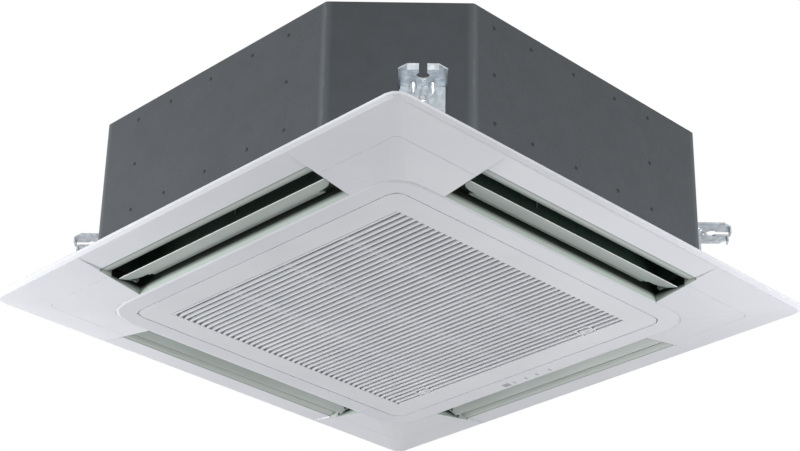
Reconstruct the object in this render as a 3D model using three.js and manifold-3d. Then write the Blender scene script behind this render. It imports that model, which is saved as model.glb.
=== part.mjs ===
// Ceiling cassette air conditioner: a square panel with four air outlets round a hinged
// intake grille, below a cabinet that hides in the ceiling void and hangs on four brackets.
// Millimetres, +Z up. The origin is the centre of the panel's lowest face. Sides are named
// front (-Y, the grille's hinge), right (+X), back (+Y, latches and display) and left (-X).
import * as THREE from 'three';
import { mergeVertices } from 'three/addons/utils/BufferGeometryUtils.js';
import Module from 'manifold-3d';

const wasm = await Module();
wasm.setup();

// ---- Clearances -----------------------------------------------------------------------
const GAP = 0.3;                 // between pieces that seat on each other
const CUT = 5;                   // how far a cutter runs past the face that it cuts
const MERGE_WITHIN = 0.01;       // points left by cutting that lie this close to flat go

// ---- Panel ----------------------------------------------------------------------------
const PANEL_SIDE = 950;
const PANEL_TOP = 29;            // ceiling face of the panel above its lowest face
const PANEL_CORNER_R = 22;
const RIM_EDGE = 4;              // upright edge of the rim under the ceiling
const RIM_BEVEL_RUN = 6.5;
const RIM_BEVEL_RISE = 3.8;
const FRAME_SIDE = 677;          // flat frame round the grille
const FRAME_CORNER_R = 50;
const FRAME_STEP_RUN = 3;        // bevelled step from the frame to the sloping border
const FRAME_STEP_RISE = 1.2;
const PANEL_WALL = 3;
const OPENING_SIDE = 615;        // hole that the intake grille closes
const OPENING_CORNER_R = 22;
const LEDGE_SIDE = 586;          // narrower upper part of that hole
const LEDGE_HEIGHT = 14;

// ---- Air outlets ----------------------------------------------------------------------
const OUTLET_MARGIN = 40;        // from an outlet's outer corner to the cut-off corner
const VENT_INNER = 343;          // inner wall, from the centre
const LIP_EDGE = 402;            // edge of the rolled outer lip, from the centre
const LIP_EDGE_HEIGHT = 23.5;
const LIP_START = 424;           // where the outer strip starts to roll up
const LIP_START_HEIGHT = 17;
const LIP_STEPS = 3;

// ---- Corner covers --------------------------------------------------------------------
const COVER_OUTER = 406;         // seam of the covers, from the centre
const COVER_OUTER_R = 12;
const COVER_THICK = 2.5;

// ---- Louvres and their drives ---------------------------------------------------------
const LOUVRE_END_GAP = 4;        // from a louvre's end to the outlet's end wall
const LOUVRE_PIVOT_OUT = 357.5;  // pivot line, from the centre
const LOUVRE_PIVOT_HEIGHT = 21.5;
const LOUVRE_TIP_OUT = 389.6;    // outer edge with the louvre as photographed
const LOUVRE_TIP_HEIGHT = 11;
const LOUVRE_BLADE = 31;         // plain part of the blade, from its outer edge
const LOUVRE_TAIL = 11;          // stepped part behind it
const LOUVRE_STEP = 2.4;
const LOUVRE_THICK = 2.6;
const LOUVRE_TILT = 10;          // degrees that the blade rises towards its pivot
const LOUVRE_END_R = 40;         // rounded ends of the blade, in plan
const LOUVRE_LUG_R = 5;
const LOUVRE_LUG_THICK = 4;
const LOUVRE_PIN_R = 2.5;
const LOUVRE_PIN_REACH = 5;      // pin beyond the end wall's inner face
const BEARING_CLEARANCE = 0.35;
const END_WALL = 3;
const LOUVRE_MOTOR = [26, 26, 17];   // along the side, outwards, up
const LOUVRE_BUSH_R = 6;
const LOUVRE_BUSH_LENGTH = 10;

// ---- Intake grille --------------------------------------------------------------------
const GRILLE_SIDE = 611;
const GRILLE_CORNER_R = 20;
const GRILLE_SKIN = 3;
const GRILLE_DEPTH = 12;         // to the top of its ribs
const FIELD_HALF = 262;          // slatted field, from the centre
const SLAT_PITCH = 11.9;
const SLAT_COUNT = 44;
const SLAT_FIRST_Y = -258;
const SLAT_WIDTH = 3.8;
const SLAT_DEPTH = 5;
const GRILLE_RIB_SPACING = 132;
const GRILLE_RIB_WIDTH = 5;
const GRILLE_UPSTAND = 2.5;
const GRILLE_UPSTAND_INSET = 3;
const GRILLE_HINGE_Y = -299;
const GRILLE_HINGE_Z = 3.5;
const GRILLE_PIN_R = 2;
const GRILLE_PIN_END = 306;      // ends of the pins, from the centre
const GRILLE_PIN_LENGTH = 8;
const HINGE_PLAY = 0.5;          // round the grille's corners as they swing past the panel

// ---- Grille latches -------------------------------------------------------------------
const LATCH_X = 188;
const LATCH_Y = 254;
const LATCH_KNOB = [22, 13];
const LATCH_TRAVEL = 6;
const LATCH_POCKET_SIDE = 2;     // slit beside the knob
const LATCH_WALL = 2;
const LATCH_TONGUE = [14, 2.4];  // width, thickness
const LATCH_TONGUE_HEIGHT = 5;

// ---- Air filter -----------------------------------------------------------------------
const FILTER_SIDE = 540;
const FILTER_BORDER = 10;
const FILTER_THICK = 3.2;
const FILTER_NET_THICK = 0.9;
const FILTER_CELLS = 9;          // gaps along each side of the net
const FILTER_STRAND = 3;

// ---- Display --------------------------------------------------------------------------
const DISPLAY_Y = 329.5;
const RECEIVER_X = -59;
const RECEIVER = [14, 11];
const LAMP_X = [-41, -14, 11, 41];
const LAMP_SIZE = [4, 8];

// ---- Cabinet --------------------------------------------------------------------------
const CABINET_SIDE = 840;
const CABINET_CHAMFER = 156;     // length cut off each side at a corner
const CABINET_BOTTOM = 32;
const CABINET_SHEET = 1.2;
const CABINET_BEND_R = 6;
const CABINET_FLANGE = 15;       // inward flanges at the bottom and under the top plate
const TOP_PLATE_DROP = 3;        // top plate below the cabinet's upper edge
const TOP_RIB = [320, 22, 2.6];  // length, width and height of its pressed ribs
const TOP_RIB_START = 72;
const LINER_THICK = 11;
const SEAL_THICK = 3.9;

// ---- Hanger brackets and panel brackets -----------------------------------------------
const BOLT_PITCH_X = 780;        // hanging bolt pitch
const BOLT_PITCH_Y = 680;
const HANGER_HEIGHT = 147;       // upper face of the bearing plate
const HANGER_SHEET = 2.5;
const HANGER_TIP = 29.8;         // bearing plate beyond the bolt's centre
const HANGER_WIDTH = 72;
const HANGER_LEG_WIDTH = 66;
const HANGER_LEG_BOTTOM = 72;
const HANGER_CORNER = 13;
const HANGER_HOLE_R = 10;
const HANGER_NECK = 12;
const HANGER_TAB = [16.5, 11];   // width and drop of the bent tabs
const HANGER_GUSSET = [14, 12, 5];   // from the middle, leg and width
const FOOT_TOP_LEG = 66;
const FOOT_REACH = 34;
const FOOT_WIDTH = 50;
const PANEL_BOLT_OUT = 22;       // bolt from the chamfer face
const PANEL_BOLT_R = 3;
const PANEL_BOLT_HEAD_R = 6;
const PANEL_BOLT_HEAD = 4;
const BOSS_R = 10;

// ---- Drain pan, bell mouth ------------------------------------------------------------
const PAN_HEIGHT = 60;
const PAN_DUCT_INNER = 346;
const PAN_DUCT_OUTER = 400;
const PAN_HOLE_SIDE = 544;
const PAN_HOLE_R = 60;
const PAN_HOLE_LIP = 9;
const PAN_LIP_THICK = 34;
const TROUGH_DEPTH = 30;
const TROUGH_CLEARANCE = 5;
const BELL_PLATE_THICK = 3;
const BELL_FLARE_R = 212;
const BELL_THROAT_R = 176;
const BELL_RISE = 40;

// ---- Fan ------------------------------------------------------------------------------
const FAN_R = 235;
const FAN_INLET_R = 184;
const FAN_BOTTOM = 94;
const FAN_SHROUD_RISE = 34;
const FAN_TOP = 242;
const FAN_SKIN = 3;
const FAN_FACETS = 28;
const BLADE_COUNT = 7;
const BLADE_INNER_R = 168;
const BLADE_LEAN = 42;           // degrees that a blade trails over its length
const BLADE_THICK = 6;
const HUB_R = 112;
const HUB_BOTTOM = 172;
const HUB_BOSS_R = 18;
const SHAFT_R = 6;
const MOTOR_R = 74;
const MOTOR_OVER_HUB = 34;       // underside of the motor above that of the fan's hub
const MOTOR_HEIGHT = 70;
const MOUNT_HEIGHT = 12.8;       // from the motor's top to the top plate
const MOTOR_LUGS = 4;
const MOUNT_R = 105;

// ---- Heat exchanger -------------------------------------------------------------------
const COIL_SIDE = 672;
const COIL_THICK = 36;
const COIL_CORNER_R = 78;
const COIL_HEADROOM = 4.8;       // under the top plate
const COIL_END = 226;            // where its two ends stop, from the centre
const COIL_GROOVES = 9;          // grooves between tube rows that show on its outer face
const COIL_GROOVE = [3, 2];
const END_PLATE_THICK = 1.5;
const RETURN_TUBE = 7;

// ---- Pipes, pump, electrics -----------------------------------------------------------
const GAS_PIPE_R = 8;
const LIQUID_PIPE_R = 4.8;
const PIPE_WALL = 1;
const GAS_PIPE_ROW = 6.5;        // row of tubes that it leaves between, from the bottom
const LIQUID_PIPE_ROW = 4.5;
const GAS_PIPE_ALONG = 35;       // from the chamfer's centre, away from the bracket
const LIQUID_PIPE_ALONG = 75;
const LIQUID_PIPE_X = -246;      // where the liquid pipe turns towards the back
const PIPE_STUB = 58;            // pipe beyond the chamfer face
const GAS_NUT_R = 15.5;
const LIQUID_NUT_R = 11.5;
const NUT_LENGTH = 22;
const NUT_OVERHANG = 4;
const PUMP_FACE_GAP = 73.5;      // from the pump's axis to the chamfer face
const SUMP_R = 48;
const SUMP_FLOOR = 58;
const PUMP_R = 28;
const PUMP_FOOT = 82;            // lower end of its suction neck
const PUMP_NECK_R = 15;
const PUMP_NECK_TOP = 116;
const PUMP_TOP = 184;
const PUMP_WALL = 3.5;
const PUMP_ARM = [34, 3];         // width and thickness of its arm to the wall
const PUMP_OUTLET = [7, 42, 104];    // radius, reach from the pump's axis, height
const IMPELLER_R = 9.5;
const STEM_R = 2.5;              // impeller shaft
const IMPELLER_HEIGHT = 20;
const DRAIN_R = 16;
const DRAIN_WALL = 3;
const DRAIN_FLANGE = [25, 3];     // radius and thickness
const DRAIN_HEIGHT = 214;
const DRAIN_Y = 230;
const DRAIN_STUB = 42;
const DRAIN_INNER_X = -384;      // where the hose enters the outlet
const HOSE_R = 9;
const CONTROL_BOX = [430, 50, 24];
const CONTROL_SHEET = 1.2;
const CONTROL_BOARD = [230, 42, 1.6];
const BOARD_POST = [6, 5, 3];    // from the board's ends, from its sides, half width
const BOARD_PARTS = [            // tall parts: from x to x, from y to y, height
  [-103, -69, -14, 14, 12], [-55, -37, -12, 6, 9], [-23, 3, -8, 12, 5],
  [49, 75, -15, 15, 11], [85, 105, -16, 10, 7],
];

// ---- Derived places -------------------------------------------------------------------
const FRAME_HALF = FRAME_SIDE / 2;
const BORDER_INNER = FRAME_HALF + FRAME_STEP_RUN;
const BORDER_OUTER = PANEL_SIDE / 2 - RIM_BEVEL_RUN;
const BORDER_OUTER_HEIGHT = PANEL_TOP - RIM_EDGE - RIM_BEVEL_RISE;
const BORDER_SLOPE = (BORDER_OUTER_HEIGHT - FRAME_STEP_RISE) / (BORDER_OUTER - BORDER_INNER);
const borderHeight = (out) => FRAME_STEP_RISE + BORDER_SLOPE * (out - BORDER_INNER);
const VENT_END = CABINET_SIDE - CABINET_CHAMFER - PAN_DUCT_OUTER - OUTLET_MARGIN;
const LOUVRE_END = VENT_END - LOUVRE_END_GAP;
const FACE_OUT = (CABINET_SIDE - CABINET_CHAMFER) / Math.SQRT2;  // chamfer face from centre
const HANGER_OFFSET = (BOLT_PITCH_X - BOLT_PITCH_Y) / 2 / Math.SQRT2;
const HANGER_HOLE_OUT = (BOLT_PITCH_X + BOLT_PITCH_Y) / 2 / Math.SQRT2;
const PAN_BOTTOM = CABINET_BOTTOM + CABINET_SHEET + GAP;
const PAN_TOP = PAN_BOTTOM + PAN_HEIGHT;
const LINER_OUTER = CABINET_SIDE / 2 - CABINET_SHEET - GAP;
const LINER_INNER = LINER_OUTER - LINER_THICK;
const LINER_FACE_OUT = FACE_OUT - CABINET_SHEET - GAP - LINER_THICK;
const HANGER_END = HANGER_HOLE_OUT + HANGER_TIP;
const PUMP_OUT = (FACE_OUT - PUMP_FACE_GAP) / Math.SQRT2;
const PUMP_CENTRE = [-PUMP_OUT, PUMP_OUT];
const MOTOR_BOTTOM = HUB_BOTTOM + MOTOR_OVER_HUB;
const MOTOR_TOP = MOTOR_BOTTOM + MOTOR_HEIGHT;
const PAN_OUTER = LINER_INNER - GAP;
const TOP_PLATE_Z = MOTOR_TOP + MOUNT_HEIGHT;
const CABINET_TOP = TOP_PLATE_Z + CABINET_SHEET + TOP_PLATE_DROP;
const FLANGE_TOP = TOP_PLATE_Z - GAP;
const BELL_PLATE_TOP = PAN_TOP - PAN_LIP_THICK - GAP;
const COIL_BOTTOM = PAN_TOP - TROUGH_DEPTH + GAP;
const COIL_TOP = TOP_PLATE_Z - COIL_HEADROOM;
const TUBE_PITCH = (COIL_TOP - COIL_BOTTOM) / (COIL_GROOVES + 1);
const GAS_PIPE_HEIGHT = COIL_BOTTOM + GAS_PIPE_ROW * TUBE_PITCH;
const LIQUID_PIPE_HEIGHT = COIL_BOTTOM + LIQUID_PIPE_ROW * TUBE_PITCH;
const CORNERS = [
  { name: 'back_right', turn: 1, offset: HANGER_OFFSET },
  { name: 'back_left', turn: 3, offset: -HANGER_OFFSET },
  { name: 'front_left', turn: 5, offset: HANGER_OFFSET },
  { name: 'front_right', turn: 7, offset: -HANGER_OFFSET },
];                                // turn is in eighths, from +X
const SIDES = ['right', 'back', 'left', 'front'];
const PIPE_CORNER = CORNERS[1];

// ---- Materials ------------------------------------------------------------------------
const material = (color, roughness, metalness = 0) =>
  new THREE.MeshStandardMaterial({ color, roughness, metalness });
const PANEL_WHITE = material(0xd9dbe0, 0.45);
const GRILLE_WHITE = material(0xd3d6dc, 0.45);
const LOUVRE_GREY = material(0xc4cec6, 0.5);
const CABINET_GREY = material(0x565a5e, 0.6, 0.3);
const ZINC = material(0xaeb4ba, 0.4, 0.9);
const FOAM_WHITE = material(0xe6e6e2, 0.9);
const FOAM_BLACK = material(0x2a2b2c, 0.95);
const BLACK_PLASTIC = material(0x2b2d2f, 0.55);
const FAN_GREY = material(0x6f7377, 0.5);
const FILTER_GREY = material(0x8b9094, 0.8);
const SMOKED = material(0x55585c, 0.2);
const CIRCUIT_GREEN = material(0x2f6b45, 0.5);
const COPPER = material(0xb87333, 0.35, 0.95);
const BRASS = material(0xc9a227, 0.35, 0.95);
const FIN_ALUMINIUM = material(0xc9cdd0, 0.45, 0.8);

// ---- Shape helpers --------------------------------------------------------------------
const unit = new THREE.Group();

/** Turns a closed geometry into a solid whose faces point out. */
function solid(geometry) {
  const bare = geometry.index ? geometry.toNonIndexed() : geometry;
  bare.deleteAttribute('normal');
  bare.deleteAttribute('uv');
  const merged = mergeVertices(bare, 1e-4);
  const at = merged.attributes.position.array;
  const kept = [];
  let volume = 0;
  const corner = (i) => new THREE.Vector3(at[3 * i], at[3 * i + 1], at[3 * i + 2]);
  for (let t = 0; t < merged.index.count; t += 3) {
    const [a, b, c] = [0, 1, 2].map((k) => merged.index.array[t + k]);
    if (a === b || b === c || c === a) continue;
    kept.push(a, b, c);
    volume += corner(a).dot(corner(b).cross(corner(c)));
  }
  if (volume < 0) {
    for (let t = 0; t < kept.length; t += 3) [kept[t], kept[t + 1]] = [kept[t + 1], kept[t]];
  }
  const mesh = new wasm.Mesh({
    numProp: 3, vertProperties: new Float32Array(at), triVerts: new Uint32Array(kept),
  });
  return new wasm.Manifold(mesh);
}

/** Adds one solid to the unit, or to a group in it, as a named mesh. */
function addPiece(name, body, look, parent = unit) {
  const { vertProperties, triVerts } = body.simplify(MERGE_WITHIN).getMesh();
  const geometry = new THREE.BufferGeometry();
  geometry.setAttribute('position', new THREE.BufferAttribute(vertProperties, 3));
  geometry.setIndex(new THREE.BufferAttribute(triVerts, 1));
  const flat = geometry.toNonIndexed();
  flat.computeVertexNormals();
  const mesh = new THREE.Mesh(flat, look);
  mesh.name = name;
  parent.add(mesh);
  return mesh;
}

const unite = (first, ...others) => others.reduce((sum, body) => sum.add(body), first);
const cutFrom = (first, ...others) => others.reduce((rest, body) => rest.subtract(body), first);

/** Box between two corners. */
function box(x0, x1, y0, y1, z0, z1) {
  const geometry = new THREE.BoxGeometry(x1 - x0, y1 - y0, z1 - z0);
  return solid(geometry.translate((x0 + x1) / 2, (y0 + y1) / 2, (z0 + z1) / 2));
}

/** Plan outline carried from height z0 to z1. */
function plate(shape, z0, z1, curveSegments = 2) {
  const settings = { depth: z1 - z0, bevelEnabled: false, curveSegments };
  return solid(new THREE.ExtrudeGeometry(shape, settings).translate(0, 0, z0));
}

/** Rounded rectangle centred on a point, as a plan outline. */
function roundedRect(width, depth, r, cx = 0, cy = 0) {
  const [w, d] = [width / 2, depth / 2];
  const shape = new THREE.Shape();
  shape.moveTo(cx - w + r, cy - d);
  shape.lineTo(cx + w - r, cy - d);
  shape.absarc(cx + w - r, cy - d + r, r, -Math.PI / 2, 0);
  shape.lineTo(cx + w, cy + d - r);
  shape.absarc(cx + w - r, cy + d - r, r, 0, Math.PI / 2);
  shape.lineTo(cx - w + r, cy + d);
  shape.absarc(cx - w + r, cy + d - r, r, Math.PI / 2, Math.PI);
  shape.lineTo(cx - w, cy - d + r);
  shape.absarc(cx - w + r, cy - d + r, r, Math.PI, 1.5 * Math.PI);
  return shape;
}

/** Closed profile of [radius, height] points turned about Z. */
function turned(profile, segments = 32) {
  const points = profile.map(([r, z]) => new THREE.Vector2(r, z));
  points.push(points[0].clone());
  return solid(new THREE.LatheGeometry(points, segments).rotateX(Math.PI / 2));
}

/** Upright round bar. */
function post(r, z0, z1, cx = 0, cy = 0, segments = 16) {
  const geometry = new THREE.CylinderGeometry(r, r, z1 - z0, segments).rotateX(Math.PI / 2);
  return solid(geometry.translate(cx, cy, (z0 + z1) / 2));
}

/** Round bar along a panel side: its centre lies out from the middle, at a height. */
function barAlong(r, out, height, s0, s1, segments = 12) {
  const geometry = new THREE.CylinderGeometry(r, r, s1 - s0, segments);
  return geometry.translate(out, (s0 + s1) / 2, height);
}

/** Profile of [out, height] points carried along the right-hand side from s0 to s1. */
function alongSide(points, s0, s1) {
  const shape = new THREE.Shape(points.map(([d, z]) => new THREE.Vector2(d, z)));
  const geometry = new THREE.ExtrudeGeometry(shape, { depth: s1 - s0, bevelEnabled: false });
  return geometry.rotateX(Math.PI / 2).translate(0, s1, 0);
}

/** Makes one solid for each of the four sides from a function that returns a geometry. */
const onEachSide = (make) =>
  SIDES.map((_, k) => solid(make().rotateZ(k * Math.PI / 2)));

/** Rounded square loop of points at one height. */
function squareLoop(half, r, z, steps = 3) {
  const points = [];
  for (let c = 0; c < 4; c++) {
    const [sx, sy] = [[1, 1], [-1, 1], [-1, -1], [1, -1]][c];
    for (let i = 0; i <= steps; i++) {
      const a = (c + i / steps) * Math.PI / 2;
      points.push([sx * (half - r) + r * Math.cos(a), sy * (half - r) + r * Math.sin(a), z]);
    }
  }
  return points;
}

/** Ring whose section is the chain of loops, closed on itself. */
function loopRing(loops) {
  const n = loops[0].length;
  const index = [];
  loops.forEach((_, i) => {
    const j = (i + 1) % loops.length;
    for (let k = 0; k < n; k++) {
      const next = (k + 1) % n;
      index.push(i * n + k, i * n + next, j * n + next, i * n + k, j * n + next, j * n + k);
    }
  });
  const geometry = new THREE.BufferGeometry();
  const flat = new Float32Array(loops.flat(2));
  geometry.setAttribute('position', new THREE.BufferAttribute(flat, 3));
  geometry.setIndex(index);
  return solid(geometry);
}

/** Square with cut corners and rounded bends, as a plan outline. */
function octagon(half, chamfer, r) {
  const shape = new THREE.Shape();
  const turn = r * Math.tan(Math.PI / 8);
  for (let k = 0; k < 4; k++) {
    const a = k * Math.PI / 2;
    const place = (x, y) => [x * Math.cos(a) - y * Math.sin(a), x * Math.sin(a) + y * Math.cos(a)];
    const go = k === 0 ? 'moveTo' : 'lineTo';
    const d = half - chamfer;
    shape[go](...place(half, -d + turn));
    shape.lineTo(...place(half, d - turn));
    shape.quadraticCurveTo(...place(half, d), ...place(half - turn / 1.41, d + turn / 1.41));
    shape.lineTo(...place(d + turn / 1.41, half - turn / 1.41));
    shape.quadraticCurveTo(...place(d, half), ...place(d - turn, half));
  }
  return shape;
}

/** Octagonal outline set in from the cabinet's outer face by a distance. */
function cabinetOutline(inset) {
  const chamfer = CABINET_CHAMFER - inset * (2 - Math.SQRT2);
  return octagon(CABINET_SIDE / 2 - inset, chamfer, Math.max(CABINET_BEND_R - inset, 1));
}

/** Shape in a corner's own frame: x along the chamfer face, y outwards. */
function atCorner(geometry, corner) {
  return solid(geometry.rotateZ(corner.turn * Math.PI / 4 - Math.PI / 2));
}

// ---- Panel ----------------------------------------------------------------------------
const openingHalf = OPENING_SIDE / 2;
const COVER_PRISM = { depth: 60, bevelEnabled: false, curveSegments: 2 };

/** Loops of the border's visible face, from the frame step to the rim's bevel. */
const borderLoops = (rise) => [
  squareLoop(BORDER_INNER, FRAME_CORNER_R, FRAME_STEP_RISE + rise),
  squareLoop(BORDER_OUTER, PANEL_CORNER_R - 6, BORDER_OUTER_HEIGHT + rise),
];

/** L-shaped plan of the corner covers, grown by a clearance, for the back right corner. */
function coverOutline(grow) {
  const inner = BORDER_INNER + GAP - grow;
  const outer = COVER_OUTER - GAP + grow;
  const end = VENT_END - grow;
  const r = FRAME_CORNER_R;
  const shape = new THREE.Shape();
  shape.moveTo(inner, end);
  shape.lineTo(outer, end);
  shape.lineTo(outer, outer - COVER_OUTER_R);
  shape.absarc(outer - COVER_OUTER_R, outer - COVER_OUTER_R, COVER_OUTER_R, 0, Math.PI / 2);
  shape.lineTo(end, outer);
  shape.lineTo(end, inner);
  shape.lineTo(inner - r, inner);
  shape.absarc(inner - r, inner - r, r, Math.PI / 2, 0, true);
  shape.lineTo(inner, end);
  return shape;
}

/** Curve of the rolled outer lip, as [out, height] points from its start to its edge. */
function lipCurve() {
  const start = new THREE.Vector2(LIP_START, LIP_START_HEIGHT);
  const edge = new THREE.Vector2(LIP_EDGE, LIP_EDGE_HEIGHT);
  const bend = new THREE.Vector2(LIP_EDGE + 7, LIP_START_HEIGHT);
  return new THREE.QuadraticBezierCurve(start, bend, edge).getPoints(LIP_STEPS)
    .map((p) => [p.x, p.y]);
}

function makePanel() {
  const half = PANEL_SIDE / 2;
  let panel = loopRing([
    squareLoop(openingHalf, OPENING_CORNER_R, 0),
    squareLoop(FRAME_HALF, FRAME_CORNER_R, 0),
    ...borderLoops(0),
    squareLoop(half, PANEL_CORNER_R, PANEL_TOP - RIM_EDGE),
    squareLoop(half, PANEL_CORNER_R, PANEL_TOP),
    squareLoop(LEDGE_SIDE / 2, OPENING_CORNER_R, PANEL_TOP),
    squareLoop(LEDGE_SIDE / 2, OPENING_CORNER_R, LEDGE_HEIGHT),
    squareLoop(openingHalf, OPENING_CORNER_R, LEDGE_HEIGHT),
  ]);
  const under = -CUT;
  const over = PANEL_TOP + CUT;
  const vent = [
    [VENT_INNER, under], [VENT_INNER, over], [LIP_EDGE + 1, over],
    [LIP_EDGE + 1, LIP_EDGE_HEIGHT + 1], ...lipCurve().reverse(),
    [BORDER_OUTER, BORDER_OUTER_HEIGHT], [BORDER_OUTER, under],
  ];
  panel = cutFrom(panel, ...onEachSide(() => alongSide(vent, -VENT_END, VENT_END)));
  panel = cutFrom(panel, ...coverRecesses(), ...drivePockets(), ...topPockets());
  return cutFrom(panel, ...displayHoles(), ...hingeBores(), ...hingeReliefs());
}

/** Shallow recesses that take the corner covers. */
function coverRecesses() {
  const [low, high] = [borderLoops(-CUT), borderLoops(COVER_THICK + GAP)];
  const layer = loopRing([low[0], low[1], high[1], high[0]]);
  return SIDES.map((_, k) => {
    const outline = new THREE.ExtrudeGeometry(coverOutline(GAP), COVER_PRISM);
    const prism = solid(outline.translate(0, 0, -20).rotateZ(k * Math.PI / 2));
    return layer.intersect(prism);
  });
}

/** Pockets and bores for the louvre motors at one end and the bushes at the other. */
function drivePockets() {
  const [along, out, up] = LOUVRE_MOTOR;
  const [d, z] = [LOUVRE_PIVOT_OUT, LOUVRE_PIVOT_HEIGHT];
  const start = VENT_END + END_WALL;
  const motor = [
    [d - out / 2 - GAP, PANEL_TOP - up - GAP], [d + out / 2 + GAP, PANEL_TOP - up - GAP],
    [d + out / 2 + GAP, PANEL_TOP + CUT], [d - out / 2 - GAP, PANEL_TOP + CUT],
  ];
  const r = LOUVRE_BUSH_R + GAP;
  const bush = [[d - r, z - r], [d + r, z - r], [d + r, PANEL_TOP + CUT], [d - r, PANEL_TOP + CUT]];
  return [
    ...onEachSide(() => alongSide(motor, start, start + along + 2 * GAP)),
    ...onEachSide(() => alongSide(bush, -start - LOUVRE_BUSH_LENGTH - 2 * GAP, -start)),
    ...onEachSide(() => barAlong(LOUVRE_PIN_R + BEARING_CLEARANCE, d, z,
      -start - CUT / 5, start + CUT / 5)),
  ];
}

/** Hollows in the panel's ceiling face, which leave walls round its ducts and bosses. */
function topPockets() {
  const over = PANEL_TOP + CUT;
  const channelFloor = PANEL_WALL;
  const channelInner = openingHalf + PANEL_WALL;
  const channelOuter = VENT_INNER - PANEL_WALL;
  const channel = loopRing([
    squareLoop(channelInner, OPENING_CORNER_R, channelFloor),
    squareLoop(channelOuter, FRAME_CORNER_R, channelFloor),
    squareLoop(channelOuter, FRAME_CORNER_R, over),
    squareLoop(channelInner, OPENING_CORNER_R, over),
  ]);
  const grooveFloor = LIP_START_HEIGHT + 1.4 * PANEL_WALL;
  const [grooveInner, grooveOuter] = [LIP_START + 2 * PANEL_WALL, BORDER_OUTER - 1];
  const groove = loopRing([
    squareLoop(grooveInner, PANEL_CORNER_R, grooveFloor),
    squareLoop(grooveOuter, PANEL_CORNER_R, grooveFloor),
    squareLoop(grooveOuter, PANEL_CORNER_R, over),
    squareLoop(grooveInner, PANEL_CORNER_R, over),
  ]);
  return [channel, groove, ...CORNERS.map(cornerPocket)];
}

/** L-shaped pocket above a corner cover, with the panel bolt's boss left standing. */
function cornerPocket(corner) {
  const floor = borderHeight(COVER_OUTER) + COVER_THICK + PANEL_WALL;
  const [low, high] = [VENT_INNER + PANEL_WALL, COVER_OUTER - PANEL_WALL];
  const start = VENT_END + END_WALL + LOUVRE_MOTOR[0] + 2 * PANEL_WALL;
  const outline = new THREE.Shape();
  [[low, start], [high, start], [high, high], [start, high], [start, low], [low, low]]
    .forEach(([x, y], i) => (i ? outline.lineTo(x, y) : outline.moveTo(x, y)));
  const settings = { depth: PANEL_TOP + CUT - floor, bevelEnabled: false };
  const geometry = new THREE.ExtrudeGeometry(outline, settings).translate(0, 0, floor);
  const pocket = solid(geometry.rotateZ((corner.turn - 1) * Math.PI / 4));
  const [x, y] = boltPlace(corner);
  const boss = post(BOSS_R, floor - CUT, PANEL_TOP + 2 * CUT, x, y);
  const head = post(PANEL_BOLT_HEAD_R + 2, 0, boltHeadTop() + GAP, x, y);
  return unite(pocket.subtract(boss), head,
    post(PANEL_BOLT_R + 0.6, 0, PANEL_TOP + CUT, x, y, 12));
}

/** Plan position of the bolt that holds the panel at a corner. */
function boltPlace(corner) {
  const a = corner.turn * Math.PI / 4;
  const [out, along] = [FACE_OUT + PANEL_BOLT_OUT, corner.offset];
  return [out * Math.cos(a) + along * Math.sin(a), out * Math.sin(a) - along * Math.cos(a)];
}

const boltHeadTop = () => borderHeight(COVER_OUTER) + COVER_THICK + PANEL_BOLT_HEAD + GAP;

/** Holes in the frame for the receiver window and the lamps' light guide. */
function displayHoles() {
  const [w, d] = RECEIVER;
  const y = DISPLAY_Y;
  const hole = (x, width, depth) =>
    box(x - width / 2 - GAP, x + width / 2 + GAP, y - depth / 2 - GAP, y + depth / 2 + GAP,
      -CUT, PANEL_WALL + CUT);
  return [hole(RECEIVER_X, w, d), ...LAMP_X.map((x) => hole(x, ...LAMP_SIZE))];
}

/** Blind bores in the opening's side walls for the grille's hinge pins. */
function hingeBores() {
  const r = GRILLE_PIN_R + BEARING_CLEARANCE;
  return [-1, 1].map((side) => {
    const bore = new THREE.CylinderGeometry(r, r, 2 * CUT, 12).rotateZ(Math.PI / 2);
    const x = side * (GRILLE_PIN_END + GAP - CUT);
    return solid(bore.translate(x, GRILLE_HINGE_Y, GRILLE_HINGE_Z));
  });
}

/** Notches in the opening's corners that the grille's rounded corners swing through. */
function hingeReliefs() {
  const centre = GRILLE_SIDE / 2 - GRILLE_CORNER_R;
  const nearest = -GRILLE_HINGE_Y - GRILLE_HINGE_Z;
  const reach = centre + Math.sqrt(GRILLE_CORNER_R ** 2 - (nearest - centre) ** 2) + HINGE_PLAY;
  const start = centre + GRILLE_CORNER_R / 2;
  const [y0, y1] = [GRILLE_HINGE_Y - GRILLE_HINGE_Z - HINGE_PLAY, -nearest];
  return [-1, 1].map((side) => box(Math.min(side * start, side * reach),
    Math.max(side * start, side * reach), y0, y1, -CUT, GRILLE_HINGE_Z + GRILLE_PIN_R));
}

/** Removable cover of one corner, which carries on the border's slope. */
function makeCornerCovers() {
  const [low, high] = [borderLoops(0), borderLoops(COVER_THICK)];
  const layer = loopRing([low[0], low[1], high[1], high[0]]);
  CORNERS.forEach((corner) => {
    const outline = new THREE.ExtrudeGeometry(coverOutline(0), COVER_PRISM);
    const prism = outline.translate(0, 0, -20).rotateZ((corner.turn - 1) * Math.PI / 4);
    addPiece(`corner_cover_${corner.name}`, layer.intersect(solid(prism)), PANEL_WHITE);
  });
}

/** Foam gasket between the panel and the drain pan, open at the intake and the outlets. */
function makeSeal() {
  const z0 = PANEL_TOP + GAP;
  const half = CABINET_SIDE / 2 - CABINET_FLANGE - GAP - CABINET_SHEET;
  const outline = octagon(half, CABINET_CHAMFER, 1);
  outline.holes.push(roundedRect(LEDGE_SIDE, LEDGE_SIDE, OPENING_CORNER_R));
  const vents = [[VENT_INNER - 1, 0], [VENT_INNER - 1, 99], [half + CUT, 99], [half + CUT, 0]];
  return cutFrom(plate(outline, z0, z0 + SEAL_THICK),
    ...onEachSide(() => alongSide(vents, -VENT_END, VENT_END)));
}

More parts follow.
